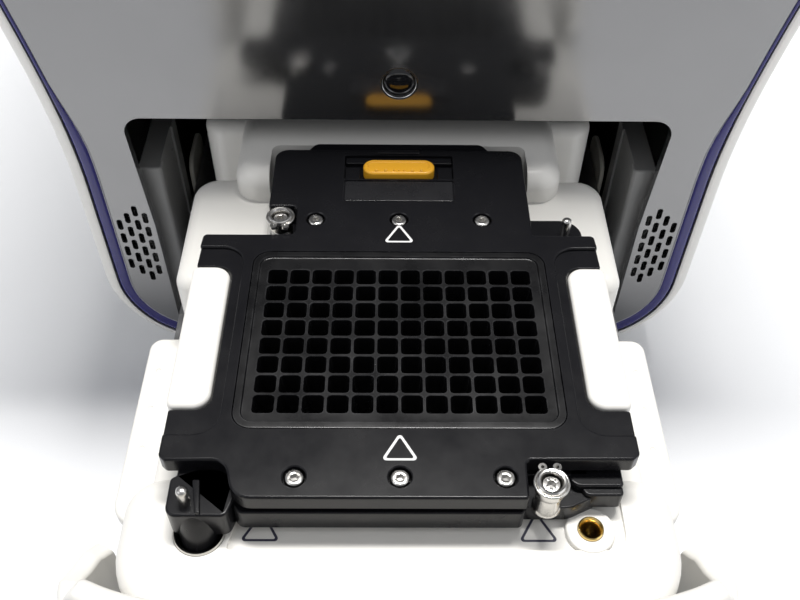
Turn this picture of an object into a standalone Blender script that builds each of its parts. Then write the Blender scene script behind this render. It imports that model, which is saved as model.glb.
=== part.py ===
"""Tower thermal cycler for real-time PCR, with its sample drawer pulled out.

Metres, +Z up. The origin is on the bench under the middle of the whole outline, drawer included.
The drawer comes out towards -Y, and +X is to the right of someone facing the instrument.
"""

import math

import bmesh
import bpy
from mathutils import Matrix, Vector

GAP = 0.0003

# Whole instrument
LENGTH = 0.877
REAR_Y = LENGTH / 2
BLOCK_Y = 0.115 - LENGTH / 2
BLOCK_TOP = 0.165
FASCIA_Y = BLOCK_Y + 0.1225
DRAWER_TRAVEL = 0.190
CLOSED_Y = BLOCK_Y + DRAWER_TRAVEL

# Tower outline, seen from the front
BODY_BOTTOM = 0.0066
BODY_TOP = 0.640
BASE_HALF = 0.164
HEAD_HALF = 0.200
FLARE_LOW, FLARE_HIGH = 0.132, 0.389
BOTTOM_RADIUS = 0.0555
TOP_RADIUS = 0.055
WALL = 0.003
LEAN_START = 0.260
LEAN_SLOPE = 0.16
LEAN_BLEND = 0.05
CORNER_STEPS = 6
SIDE_STEPS = 16

# Fascia
FASCIA_THICK = 0.005
OPENING_HALF_LOW, OPENING_HALF_HIGH = 0.1265, 0.130
OPENING_TOP = BLOCK_TOP + 0.009
SENSOR_Z = BLOCK_TOP + 0.029
SENSOR_R = 0.0080
SCREEN_HALF, SCREEN_LOW, SCREEN_HIGH = 0.118, 0.300, 0.505
VENT_COLUMNS = ((0.1448, 4), (0.1400, 5), (0.1353, 6), (0.1308, 5))
VENT_PITCH = 0.00965
VENT_MIDDLE_Z = BLOCK_TOP - 0.0739
VENT_SLOT = (0.0027, 0.0070)

# Drawer, heights above the bench
TRAY_TOP = BLOCK_TOP - 0.060
TRAY_THICK = 0.006
TRAY_HALF = 0.099
WING_HALF = 0.115
DRAWER_REAR = 0.330
PANEL_THICK = 0.008

# Drawer drive
GEAR_MODULE = 0.0015
PINION_TEETH = 16
PINION_RADIUS = GEAR_MODULE * PINION_TEETH / 2
RACK_PITCH = math.pi * GEAR_MODULE
RACK_LINE = 0.0925
PINION_Y = BLOCK_Y + 0.150
PINION_X = 0.0605
PINION_WIDTH = 0.007

# Sample block and its module, from the block's middle
WELL_PITCH = 0.009
WELL_COLUMNS, WELL_ROWS = 12, 8
WELL_SIZE = 0.0080
WELL_DEPTH = 0.0140
BLOCK_HALF_X, BLOCK_HALF_Y = 0.060, 0.0437
BLOCK_SHIFT_Y = 0.0013
COVER_THICK = 0.009
MODULE_BASE_LOW = -0.020
SCREW_X = (-0.036, 0.0, 0.036)
SCREW_Y = (-0.062, 0.065)
CAPTIVE_REAR = (-0.0508, 0.0633)
CAPTIVE_FRONT = (0.0508, -0.0658)
GUIDE_POST = (-0.0700, -0.0712)
GUIDE_BUSH = (0.0672, -0.0703)
GUIDE_PINS = ((0.0725, 0.0636), (-0.0730, -0.0680))
EAR_TOP = -0.0067
SHELF_TOP = -0.0125
LATCH_Y = (0.0923, 0.1022)
LATCH_HALF = 0.0162
SIDE_PLATE_X = (0.0690, 0.0847)
SIDE_PLATE_Y = (-0.0331, 0.0369)

SPAN = {"X": (1, 2, 0), "Y": (0, 2, 1), "Z": (0, 1, 2)}


def clear_scene():
    for obj in list(bpy.data.objects):
        bpy.data.objects.remove(obj, do_unlink=True)


def finish(name, colour, roughness, metallic=0.0):
    made = bpy.data.materials.new(name)
    made.use_nodes = True
    shader = made.node_tree.nodes["Principled BSDF"]
    shader.inputs["Base Color"].default_value = (*colour, 1.0)
    shader.inputs["Roughness"].default_value = roughness
    shader.inputs["Metallic"].default_value = metallic
    return made


def add(name, bm, look, origin=(0, 0, 0), parent=None):
    """Makes a named object from a bmesh in world coordinates, with its origin where it turns or slides."""
    bmesh.ops.recalc_face_normals(bm, faces=bm.faces)
    bmesh.ops.translate(bm, verts=bm.verts, vec=-Vector(origin))
    mesh = bpy.data.meshes.new(name)
    bm.to_mesh(mesh)
    bm.free()
    mesh.materials.append(look)
    mesh.shade_smooth()
    mesh.set_sharp_from_angle(angle=math.radians(35))
    obj = bpy.data.objects.new(name, mesh)
    obj.location = origin
    bpy.context.scene.collection.objects.link(obj)
    if parent:
        obj.parent = parent
        obj.location = Vector(origin) - world_place(parent)
    return obj


def world_place(obj):
    place = Vector(obj.location)
    while obj.parent:
        obj = obj.parent
        place += obj.location
    return place


def pivot(name, place, parent=None):
    obj = bpy.data.objects.new(name, None)
    obj.location = place
    bpy.context.scene.collection.objects.link(obj)
    if parent:
        obj.parent = parent
        obj.location = Vector(place) - world_place(parent)
    return obj


def cut(target, shapes):
    """Takes the shapes, which don't touch each other, away from the target."""
    combine(target, shapes, "DIFFERENCE")


def join(target, shapes):
    """Adds each shape, one after another, to the target."""
    for shape in shapes:
        combine(target, [shape], "UNION")


def combine(target, shapes, operation):
    number = len(target.modifiers) + 1
    whole = bmesh.new()
    for shape in shapes:
        copy = bpy.data.meshes.new("tool")
        bmesh.ops.recalc_face_normals(shape, faces=shape.faces)
        shape.to_mesh(copy)
        shape.free()
        whole.from_mesh(copy)
        bpy.data.meshes.remove(copy)
    bmesh.ops.translate(whole, verts=whole.verts, vec=-world_place(target))
    mesh = bpy.data.meshes.new(f"{target.name}_tool_{number}")
    whole.to_mesh(mesh)
    whole.free()
    tool = bpy.data.objects.new(mesh.name, mesh)
    tool.parent = target
    tool.hide_render = True
    tool.display_type = "WIRE"
    bpy.context.scene.collection.objects.link(tool)
    modifier = target.modifiers.new(f"{operation.lower()} {number}", "BOOLEAN")
    modifier.operation = operation
    modifier.object = tool


def on_axis(axis, u, v, level):
    first, second, third = SPAN[axis]
    point = [0.0, 0.0, 0.0]
    point[first], point[second], point[third] = u, v, level
    return point


def prism(outline, low, high, axis="Z"):
    """Solid with a flat outline between two levels of an axis."""
    bm = bmesh.new()
    rings = [[bm.verts.new(on_axis(axis, u, v, level)) for u, v in outline] for level in (low, high)]
    for ring in rings:
        bm.faces.new(ring)
    for i in range(len(outline)):
        j = (i + 1) % len(outline)
        bm.faces.new((rings[0][i], rings[0][j], rings[1][j], rings[1][i]))
    return bm


def block(low, high):
    corners = [(low[0], low[1]), (high[0], low[1]), (high[0], high[1]), (low[0], high[1])]
    return prism(corners, low[2], high[2])


def soft_block(low, high, radius, segments=2):
    """Box whose edges are all rounded."""
    bm = block(low, high)
    bmesh.ops.bevel(bm, geom=bm.edges, offset=radius, segments=segments, profile=0.5, affect="EDGES")
    return bm


def soft_top(outline, low, high, radius, segments=3):
    """Prism along Z whose upper rim is rounded."""
    bm = prism(outline, low, high)
    rim = [edge for edge in bm.edges if all(vert.co.z > high - 1e-6 for vert in edge.verts)]
    bmesh.ops.bevel(bm, geom=rim, offset=radius, segments=segments, profile=0.5, affect="EDGES")
    return bm


def rounded(corners, segments=4):
    """Outline whose corners, each (u, v, radius), are arcs."""
    outline = []
    for i, (u, v, radius) in enumerate(corners):
        corner = Vector((u, v))
        if radius <= 0:
            outline.append((u, v))
            continue
        before = (Vector(corners[i - 1][:2]) - corner).normalized()
        after = (Vector(corners[(i + 1) % len(corners)][:2]) - corner).normalized()
        half = before.angle(after) / 2
        centre = corner + (before + after).normalized() * (radius / math.sin(half))
        start = corner + before * (radius / math.tan(half)) - centre
        end = corner + after * (radius / math.tan(half)) - centre
        first = math.atan2(start.y, start.x)
        turn = (math.atan2(end.y, end.x) - first + math.pi) % (2 * math.pi) - math.pi
        for k in range(segments + 1):
            angle = first + turn * k / segments
            outline.append((centre.x + radius * math.cos(angle), centre.y + radius * math.sin(angle)))
    return outline


def rectangle(half_u, low_v, high_v, radius, segments=4):
    corners = [(-half_u, low_v), (half_u, low_v), (half_u, high_v), (-half_u, high_v)]
    return rounded([(u, v, radius) for u, v in corners], segments)


def grown(outline, by):
    """Outline moved outwards by a small distance. The outline runs anticlockwise."""
    moved = []
    for i, point in enumerate(outline):
        here = Vector(point)
        before = (here - Vector(outline[i - 1])).normalized()
        after = (Vector(outline[(i + 1) % len(outline)]) - here).normalized()
        out = Vector((before.y + after.y, -before.x - after.x)).normalized()
        reach = by / max(out.dot(Vector((before.y, -before.x))), 0.5)
        moved.append((point[0] + out.x * reach, point[1] + out.y * reach))
    return moved


def circle(u, v, radius, steps):
    angles = [2 * math.pi * k / steps for k in range(steps)]
    return [(u + radius * math.cos(a), v + radius * math.sin(a)) for a in angles]


def turned(profile, centre, axis="Z", steps=16, closed=False):
    """Turns (radius, height) points around an axis through the centre. A closed profile makes a ring."""
    bm = bmesh.new()
    rings = []
    for radius, height in profile:
        if radius == 0:
            rings.append([bm.verts.new(on_axis(axis, 0, 0, height))])
        else:
            rings.append(
                [bm.verts.new(on_axis(axis, u, v, height)) for u, v in circle(0, 0, radius, steps)]
            )
    pairs = list(zip(rings, rings[1:]))
    if closed:
        pairs.append((rings[-1], rings[0]))
    for lower, upper in pairs:
        for i in range(steps):
            j = (i + 1) % steps
            face = [
                lower[i % len(lower)],
                lower[j % len(lower)],
                upper[j % len(upper)],
                upper[i % len(upper)],
            ]
            bm.faces.new(list(dict.fromkeys(face)))
    bmesh.ops.translate(bm, verts=bm.verts, vec=Vector(centre))
    return bm


def rod(centre, radius, low, high, axis="Z", steps=16):
    return turned([(0, low), (radius, low), (radius, high), (0, high)], centre, axis, steps)


def wall(outer, inner, ring=False):
    """Wall between two matching grids of points, closed along its edges."""
    bm = bmesh.new()
    grids = [[[bm.verts.new(point) for point in row] for row in grid] for grid in (outer, inner)]
    rows, columns = len(outer), len(outer[0])
    spans = [(c, (c + 1) % columns) for c in range(columns if ring else columns - 1)]
    for r in range(rows - 1):
        for c, d in spans:
            for grid in grids:
                bm.faces.new((grid[r][c], grid[r][d], grid[r + 1][d], grid[r + 1][c]))
    for r in (0, rows - 1):
        for c, d in spans:
            bm.faces.new((grids[0][r][c], grids[0][r][d], grids[1][r][d], grids[1][r][c]))
    if not ring:
        for c in (0, columns - 1):
            for r in range(rows - 1):
                bm.faces.new((grids[0][r][c], grids[0][r + 1][c], grids[1][r + 1][c], grids[1][r][c]))
    return bm


def ease(t):
    t = min(max(t, 0.0), 1.0)
    return t * t * (3 - 2 * t)


def tower_half(z):
    """Half the tower's width at a height: straight at the base, then flaring out to the head."""
    return BASE_HALF + (HEAD_HALF - BASE_HALF) * ease((z - FLARE_LOW) / (FLARE_HIGH - FLARE_LOW))


def band_inset(z):
    """How far the coloured band's outer edge lies inside the tower's outline."""
    return 0.0035 + 0.0047 * ease((z - 0.012) / 0.044)


def fascia_inset(z):
    """How far the fascia's edge, where the band ends, lies inside the tower's outline."""
    return 0.0157 - 0.0047 * ease((z - 0.153) / 0.045)


def lean(z):
    """How far the front has leant back at a height."""
    rise = max(0.0, z - LEAN_START)
    return LEAN_SLOPE * (rise - LEAN_BLEND * (1 - math.exp(-rise / LEAN_BLEND)))


def tower_side(inset):
    """Right half of the outline, as (x, z) from under the base to the top, a distance inside the tower."""
    bottom = BODY_BOTTOM + inset(BODY_BOTTOM)
    top = BODY_TOP - inset(BODY_TOP)
    low_radius = BOTTOM_RADIUS - inset(BODY_BOTTOM)
    high_radius = TOP_RADIUS - inset(BODY_TOP)
    low_z, high_z = bottom + low_radius, top - high_radius
    low_x = tower_half(low_z) - inset(low_z) - low_radius
    high_x = tower_half(high_z) - inset(high_z) - high_radius
    points = []
    for k in range(CORNER_STEPS):
        angle = math.pi / 2 * (k / CORNER_STEPS - 1)
        points.append((low_x + low_radius * math.cos(angle), low_z + low_radius * math.sin(angle)))
    for k in range(SIDE_STEPS + 1):
        z = low_z + (high_z - low_z) * k / SIDE_STEPS
        points.append((tower_half(z) - inset(z), z))
    for k in range(1, CORNER_STEPS + 1):
        angle = math.pi / 2 * k / CORNER_STEPS
        points.append((high_x + high_radius * math.cos(angle), high_z + high_radius * math.sin(angle)))
    return points


def tower_outline(inset):
    right = tower_side(inset)
    return right + [(-x, z) for x, z in reversed(right)]


def shell_grids(pick):
    """Outer and inner grids of the housing. pick takes the wanted stretch out of a section's points."""
    front_steps = ((0.0012, 1.0), (0.0028, 0.48), (0.0054, 0.13), (0.0090, 0.0))
    rear_steps = ((0.0300, 0.0), (0.0130, 0.003), (0.0040, 0.008), (0.0, 0.014))
    outer, inner = [], []
    for depth, share in front_steps:
        out_line = pick(lambda z: (band_inset(z) - 0.0023) * share)
        in_line = pick(lambda z: min(band_inset(z) - GAP, (band_inset(z) - 0.0023) * share + WALL))
        outer.append([(x, FASCIA_Y + depth + lean(z), z) for x, z in out_line])
        inner.append([(x, FASCIA_Y + depth + lean(z), z) for x, z in in_line])
    for back, inset in rear_steps:
        out_line = pick(lambda z: inset)
        in_line = pick(lambda z: inset + WALL)
        outer.append([(x, REAR_Y - back, z) for x, z in out_line])
        inner.append([(x, REAR_Y - back, z) for x, z in in_line])
    return outer, inner


def side_stretch(sign):
    def pick(inset):
        return [(sign * x, z) for x, z in tower_side(inset)[: CORNER_STEPS + SIDE_STEPS + 1]]

    return pick


def top_stretch(inset):
    right = tower_side(inset)[CORNER_STEPS + SIDE_STEPS :]
    right[0] = (right[0][0], right[0][1] + 2 * GAP)
    return right + [(-x, z) for x, z in reversed(right)]


def bottom_stretch(inset):
    x, bottom = tower_side(inset)[0]
    return [(GAP - x, bottom), (x - GAP, bottom)]


def leaning(outline, front, back):
    """Plate along the leaning front, between two depths behind it, in flat strips that follow the lean."""
    bm = prism(outline, FASCIA_Y + front, FASCIA_Y + back, "Y")
    low, high = min(z for _, z in outline), max(z for _, z in outline)
    bends = {round(z, 7) for _, z in outline} | {
        round(z, 7) for _, z in tower_side(fascia_inset)
    }
    for z in sorted(bends):
        if max(low, LEAN_START) + 1e-5 < z < high - 1e-5:
            geometry = list(bm.verts) + list(bm.edges) + list(bm.faces)
            bmesh.ops.bisect_plane(bm, geom=geometry, dist=2e-6, plane_co=(0, 0, z), plane_no=(0, 0, 1))
    for vert in bm.verts:
        vert.co.y += lean(vert.co.z)
    return bm


def make_housing(look):
    outer, inner = shell_grids(side_stretch(-1))
    add("shell_left", wall(outer, inner), look["white"])
    outer, inner = shell_grids(side_stretch(1))
    add("shell_right", wall(outer, inner), look["white"])
    outer, inner = shell_grids(top_stretch)
    add("top_cover", wall(outer, inner), look["white"])

    depths = (0.0010, 0.0090)
    outside = tower_outline(band_inset)
    inside = tower_outline(fascia_inset)
    outer = [[(x, FASCIA_Y + d + lean(z), z) for x, z in outside] for d in depths]
    inner = [[(x, FASCIA_Y + d + lean(z), z) for x, z in inside] for d in depths]
    add("accent_band", wall(outer, inner, ring=True), look["blue"])

    outer, inner = shell_grids(bottom_stretch)
    add("base_pan", wall(outer, inner), look["white"])
    number = 0
    for y in (FASCIA_Y + 0.06, REAR_Y - 0.06):
        for x in (-0.100, 0.100):
            number += 1
            profile = [(0, 0), (0.015, 0), (0.016, 0.002), (0.014, 0.0063), (0, 0.0063)]
            add(f"foot_{number}", turned(profile, (x, y, 0)), look["rubber"])


def vent_slots(sign):
    slots = []
    half_w, half_h = VENT_SLOT[0] / 2, VENT_SLOT[1] / 2
    for x, count in VENT_COLUMNS:
        for k in range(count):
            z = VENT_MIDDLE_Z + (k - (count - 1) / 2) * VENT_PITCH
            corners = ((-half_w, -half_h), (half_w, -half_h), (half_w, half_h), (-half_w, half_h))
            slot = rounded([(sign * x + u, z + v, 0.0012) for u, v in corners], 1)
            slots.append(prism(slot, FASCIA_Y - 0.01, FASCIA_Y + 0.02, "Y"))
    return slots


def make_front(look):
    plate = leaning(tower_outline(lambda z: fascia_inset(z) + GAP), 0, FASCIA_THICK)
    fascia = add("front_fascia", plate, look["grey"])
    opening = rounded(
        [
            (-OPENING_HALF_LOW, -0.02, 0),
            (OPENING_HALF_LOW, -0.02, 0),
            (OPENING_HALF_LOW, BLOCK_TOP - 0.06, 0),
            (OPENING_HALF_HIGH, OPENING_TOP, 0.009),
            (-OPENING_HALF_HIGH, OPENING_TOP, 0.009),
            (-OPENING_HALF_LOW, BLOCK_TOP - 0.06, 0),
        ]
    )
    cut(fascia, [prism(opening, FASCIA_Y - 0.05, FASCIA_Y + 0.05, "Y")])
    cut(fascia, [rod((0, 0, SENSOR_Z), SENSOR_R + GAP, FASCIA_Y - 0.01, FASCIA_Y + 0.02, "Y")])
    cut(fascia, vent_slots(-1) + vent_slots(1))
    recess = rectangle(SCREEN_HALF, SCREEN_LOW, SCREEN_HIGH, 0.008)
    cut(fascia, [leaning(recess, -0.01, 0.0028)])
    glass = rectangle(SCREEN_HALF - GAP, SCREEN_LOW + GAP, SCREEN_HIGH - GAP, 0.0077)
    add("touch_screen", leaning(glass, 0.0002, 0.0025), look["glass"])

    dome = [(0, 0.0020), (0.006, 0.0023), (SENSOR_R, 0.0032), (SENSOR_R, 0.013), (0, 0.013)]
    add("sensor_lens", turned(dome, (0, FASCIA_Y, SENSOR_Z), "Y"), look["glass"])

    for side, sign in (("left", -1), ("right", 1)):
        corners = [(0.1195, 0.132), (0.1315, 0.132), (0.1315, 0.176), (0.1195, 0.176)]
        outline = rounded([(sign * x, BLOCK_Y + y, 0.0015) for x, y in corners], 2)
        add(f"post_{side}", prism(outline, 0.0175, BLOCK_TOP - 0.029), look["grey"])


def fan_blades(centre, count, hub, reach, width):
    """Blades round a hub on Y, each a thin plate at a slant."""
    for k in range(count):
        blade = block((hub - 0.002, -0.001, -width / 2), (reach, 0.001, width / 2))
        bmesh.ops.rotate(blade, verts=blade.verts, matrix=Matrix.Rotation(math.radians(38), 3, "X"))
        turn = Matrix.Rotation(2 * math.pi * k / count, 3, "Y")
        bmesh.ops.rotate(blade, verts=blade.verts, matrix=turn)
        bmesh.ops.translate(blade, verts=blade.verts, vec=Vector(centre))
        yield blade


def make_rear(look):
    back = REAR_Y - 0.006
    fan = (-0.085, back, 0.150)
    inlet = (0.100, back, 0.060)
    ports = (0.060, back, 0.160)
    panel = prism(tower_outline(lambda z: 0.0175), back - 0.003, back, "Y")
    rear = add("rear_panel", panel, look["white"])
    holes = [
        rod((fan[0], 0, fan[2]), 0.038, back - 0.02, back + 0.02, "Y", 24),
        block(
            (inlet[0] - 0.014, back - 0.02, inlet[2] - 0.010),
            (inlet[0] + 0.014, back + 0.02, inlet[2] + 0.010),
        ),
        block(
            (inlet[0] - 0.009, back - 0.02, inlet[2] + 0.016),
            (inlet[0] + 0.009, back + 0.02, inlet[2] + 0.028),
        ),
        block(
            (ports[0] - 0.030, back - 0.02, ports[2] - 0.009),
            (ports[0] + 0.030, back + 0.02, ports[2] + 0.009),
        ),
    ]
    cut(rear, holes)

    frame = soft_block(
        (fan[0] - 0.040, back - 0.029, fan[2] - 0.040),
        (fan[0] + 0.040, back - 0.0034, fan[2] + 0.040),
        0.003,
        1,
    )
    fan_frame = add("fan_frame", frame, look["black"])
    cut(fan_frame, [rod((fan[0], 0, fan[2]), 0.0375, back - 0.05, back + 0.02, "Y", 24)])
    hub = rod((fan[0], back - 0.016, fan[2]), 0.014, -0.009, 0.009, "Y", 16)
    rotor = add("fan_rotor", hub, look["black"], (fan[0], back - 0.016, fan[2]))
    join(rotor, fan_blades((fan[0], back - 0.016, fan[2]), 7, 0.014, 0.0355, 0.018))

    ring = [(r, h) for r, h in ((0.0400, 0.0003), (0.0425, 0.0003), (0.0425, 0.0020), (0.0400, 0.0020))]
    guard = add("fan_guard", turned(ring, fan, "Y", 24, closed=True), look["steel"])
    bars = [
        block(
            (fan[0] - 0.0408, back + 0.0004, fan[2] - 0.001),
            (fan[0] + 0.0408, back + 0.0018, fan[2] + 0.001),
        ),
    ]
    bars.append(
        block(
            (fan[0] - 0.001, back + 0.0004, fan[2] - 0.0408),
            (fan[0] + 0.001, back + 0.0018, fan[2] + 0.0408),
        ),
    )
    for radius in (0.012, 0.022, 0.032):
        loop = [
            (radius, 0.0005), (radius + 0.0018, 0.0005), (radius + 0.0018, 0.0017), (radius, 0.0017)
        ]
        bars.append(turned(loop, fan, "Y", 16, closed=True))
    join(guard, bars)

    socket = soft_block(
        (inlet[0] - 0.0137, back - 0.018, inlet[2] - 0.0097),
        (inlet[0] + 0.0137, back + 0.001, inlet[2] + 0.0097),
        0.001,
        1,
    )
    power_inlet = add("power_inlet", socket, look["black"])
    cut(
        power_inlet,
        [
            block(
                (inlet[0] - 0.0115, back - 0.014, inlet[2] - 0.0075),
                (inlet[0] + 0.0115, back + 0.01, inlet[2] + 0.0075),
            ),
        ],
    )
    pins = [
        block(
            (inlet[0] + x - 0.001, back - 0.0145, inlet[2] - 0.002),
            (inlet[0] + x + 0.001, back - 0.003, inlet[2] + 0.002),
        )
        for x in (-0.007, 0, 0.007)
    ]
    join(power_inlet, pins)

    hinge = (inlet[0], back - 0.004, inlet[2] + 0.022)
    tilt = math.radians(-10)
    rocker = rounded(
        [
            (-0.006, -0.0035, 0.001),
            (0.003, -0.0053, 0.001),
            (0.0045, 0, 0.001),
            (0.003, 0.0053, 0.001),
            (-0.006, 0.0035, 0.001),
        ],
        2,
    )
    turn = Matrix.Rotation(tilt, 2)
    rocker = [Vector((hinge[1], hinge[2])) + turn @ Vector(point) for point in rocker]
    add("power_switch", prism(rocker, hinge[0] - 0.0085, hinge[0] + 0.0085, "X"), look["black"], hinge)

    housing = block(
        (ports[0] - 0.0295, back - 0.016, ports[2] - 0.0085),
        (ports[0] + 0.0295, back + 0.0005, ports[2] + 0.0085),
    )
    port_block = add("port_block", housing, look["steel"])
    slots = [(-0.019, 0.0075, 0.0060), (0.001, 0.0066, 0.0030), (0.019, 0.0066, 0.0030)]
    cut(
        port_block,
        [
            block(
                (ports[0] + x - w, back - 0.013, ports[2] - h),
                (ports[0] + x + w, back + 0.01, ports[2] + h),
            )
            for x, w, h in slots
        ],
    )

    add(
        "power_supply",
        soft_block((-0.110, 0.270, 0.0100), (0.010, 0.395, 0.085), 0.002, 1),
        look["steel"],
    )
    board = block((-0.105, 0.388, 0.240), (0.105, 0.3905, 0.470))
    add("main_board", board, look["board"])


def filter_wheel(name, centre, axis, radius, look):
    disc = [(0.0035, -0.003), (radius, -0.003), (radius, 0.003), (0.0035, 0.003)]
    wheel = add(name, turned(disc, centre, axis, 24, closed=True), look, centre)
    places = [
        Vector(on_axis(axis, u, v, 0)) + Vector(centre) for u, v in circle(0, 0, radius * 0.66, 6)
    ]
    cut(wheel, [rod(place, radius * 0.24, -0.01, 0.01, axis, 10) for place in places])


def make_inside(look):
    legs, top, sheet, low = 0.1345, 0.266, 0.003, 0.0180
    outside = [(0.118, low), (legs, low), (legs, top)]
    inside = [(legs - sheet, top - sheet), (legs - sheet, low + sheet), (0.118, low + sheet)]
    arch = outside + [
        (-x, z) for x, z in reversed(outside)
    ] + [(-x, z) for x, z in reversed(inside)] + inside
    chassis = add("chassis", prism(arch, FASCIA_Y + 0.056, 0.262, "Y"), look["dark_metal"])
    cut(chassis, [block((-0.052, CLOSED_Y - 0.040, 0.2), (0.052, CLOSED_Y + 0.040, 0.3))])

    cover = pivot("heated_cover_axis", (0, CLOSED_Y, BLOCK_TOP))
    low = BLOCK_TOP + 0.0065
    plate = soft_block(
        (-0.060, CLOSED_Y - 0.043, low), (0.060, CLOSED_Y + 0.043, low + 0.007), 0.001, 1
    )
    plate = add("heated_cover_plate", plate, look["aluminium"], parent=cover)
    corners = [(-0.070, -0.052), (0.094, -0.052), (0.094, 0.052), (-0.070, 0.052)]
    outline = rounded([(x, CLOSED_Y + y, 0.006) for x, y in corners], 2)
    frame = add(
        "heated_cover_frame", prism(outline, low + 0.0073, low + 0.030), look["black"], parent=cover
    )
    opening = block((-0.054, CLOSED_Y - 0.038, low), (0.054, CLOSED_Y + 0.038, low + 0.05))
    cut(frame, [opening, rod((0.082, CLOSED_Y, 0), 0.0046, low, low + 0.05)])
    cut(
        plate,
        [
            block((x - 0.002, CLOSED_Y - 0.036, low - 0.01), (x + 0.002, CLOSED_Y + 0.036, low + 0.02))
            for x in (-0.045, -0.015, 0.015, 0.045)
        ],
    )
    add(
        "cover_lead_screw",
        rod((0.082, CLOSED_Y, 0), 0.0040, low + 0.002, 0.2627, steps=12),
        look["steel"],
        (0.082, CLOSED_Y, low),
    )

    frame_y = CLOSED_Y + 0.062
    optics = block((-0.080, frame_y, 0.2663), (0.058, frame_y + 0.004, 0.540))
    optics = add("optics_frame", optics, look["aluminium"])
    cut(optics, [rod((0, 0, 0.345), 0.024, frame_y - 0.02, frame_y + 0.02, "Y")])
    lens = [(0, 0.2820), (0.030, 0.2850), (0.044, 0.2890), (0.044, 0.2920), (0, 0.2980)]
    add("field_lens", turned(lens, (0, CLOSED_Y, 0), "Z", 24), look["glass"])
    filter_wheel("emission_wheel", (-0.030, CLOSED_Y, 0.405), "Z", 0.046, look["dark_metal"])
    filter_wheel("excitation_wheel", (-0.030, frame_y + 0.018, 0.345), "Y", 0.046, look["dark_metal"])
    barrel = [
        (0, 0.4150), (0.017, 0.4150), (0.017, 0.4300), (0.020, 0.4340), (0.020, 0.4670), (0, 0.4670)
    ]
    add("camera_lens", turned(barrel, (0, CLOSED_Y, 0), "Z", 24), look["black"])
    add(
        "camera_body",
        soft_block((-0.036, CLOSED_Y - 0.022, 0.4673), (0.036, CLOSED_Y + 0.044, 0.540), 0.003, 1),
        look["dark_metal"],
    )
    add(
        "lamp_module",
        soft_block((-0.030, frame_y + 0.030, 0.310), (0.030, frame_y + 0.110, 0.380), 0.003, 1),
        look["aluminium"],
    )


def rail_profile(sign):
    """Fixed channel that holds the runner, with a foot on the base pan."""
    web, inner, lip = 0.1150, 0.1110, 0.0960
    corners = [
        (web, 0.0112), (web, 0.0900), (lip, 0.0900), (lip, 0.0860), (inner, 0.0860), (inner, 0.0660)
    ]
    corners += [
        (lip, 0.0660),
        (lip, 0.0620),
        (inner, 0.0620),
        (inner, 0.0152),
        (0.0850, 0.0152),
        (0.0850, 0.0112),
    ]
    return [(sign * x, z) for x, z in corners]


def runner_profile(sign):
    corners = [
        (0.0900, 0.0665),
        (0.1105, 0.0665),
        (0.1105, 0.0855),
        (0.0955, 0.0855),
        (0.0955, 0.0987),
        (0.0900, 0.0987),
    ]
    return [(sign * x, z) for x, z in corners]


def rack_outline():
    """Side view of the rack: a bar with teeth below, and a gap between teeth over the pinion."""
    half = 0.21 * RACK_PITCH
    slope = math.tan(math.radians(20))
    tip, root = RACK_LINE - GEAR_MODULE, RACK_LINE + 1.25 * GEAR_MODULE
    low_y, high_y = BLOCK_Y - 0.052, BLOCK_Y + 0.160
    first = math.ceil((low_y - PINION_Y) / RACK_PITCH) + 1
    outline = [(low_y, root)]
    for k in range(first, 2):
        y = PINION_Y + (k + 0.5) * RACK_PITCH
        if y + RACK_PITCH / 2 > high_y:
            break
        wide = half + (root - RACK_LINE) * slope
        narrow = half - GEAR_MODULE * slope
        outline += [(y - wide, root), (y - narrow, tip), (y + narrow, tip), (y + wide, root)]
    return outline + [
        (high_y, root), (high_y, TRAY_TOP - TRAY_THICK - GAP), (low_y, TRAY_TOP - TRAY_THICK - GAP)
    ]


def pinion_outline():
    """Gear with a tooth pointing straight up, a little thinner than half its pitch."""
    levels = (
        (PINION_RADIUS - 1.25 * GEAR_MODULE, 0.30),
        (PINION_RADIUS, 0.21),
        (PINION_RADIUS + 0.9 * GEAR_MODULE, 0.10),
    )
    outline = []
    for k in range(PINION_TEETH):
        middle = math.pi / 2 + 2 * math.pi * k / PINION_TEETH
        flank = [(r, share * RACK_PITCH / r) for r, share in levels]
        steps = [(r, -angle) for r, angle in flank] + [(r, angle) for r, angle in reversed(flank)]
        outline += [(r * math.cos(middle + a), r * math.sin(middle + a)) for r, a in steps]
    return [(PINION_Y + u, RACK_LINE - PINION_RADIUS + v) for u, v in outline]


def make_drive(look, drawer):
    for side, sign in (("left", -1), ("right", 1)):
        rail = prism(rail_profile(sign), FASCIA_Y + 0.027, FASCIA_Y + 0.412, "Y")
        add(f"rail_{side}", rail, look["steel"])
        runner = prism(runner_profile(sign), BLOCK_Y - 0.045, BLOCK_Y + DRAWER_REAR, "Y")
        add(f"runner_{side}", runner, look["steel"], parent=drawer)
    add(
        "drive_rack",
        prism(rack_outline(), PINION_X - 0.001, PINION_X + PINION_WIDTH + 0.001, "X"),
        look["black"],
        parent=drawer,
    )
    axle = (PINION_X, PINION_Y, RACK_LINE - PINION_RADIUS)
    pinion = add(
        "drive_pinion",
        prism(pinion_outline(), PINION_X, PINION_X + PINION_WIDTH, "X"),
        look["brass"],
        axle,
    )
    join(pinion, [rod((0, axle[1], axle[2]), 0.0025, PINION_X - 0.004, PINION_X + 0.003, "X", 12)])
    motor = rod((0, axle[1], axle[2]), 0.0160, 0.012, PINION_X - 0.0043, "X", 20)
    motor = add("drive_motor", motor, look["dark_metal"])
    join(motor, [block((0.018, axle[1] - 0.005, 0.0110), (0.050, axle[1] + 0.014, axle[2]))])


def placed(corners):
    """Corners (x, y, radius) measured from the block's middle, moved to where the block is."""
    return [(x, BLOCK_Y + y, radius) for x, y, radius in corners]


def mirrored(right):
    """Closed outline from its right half, given front to back."""
    return right + [(-x, y, radius) for x, y, radius in reversed(right)]


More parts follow.
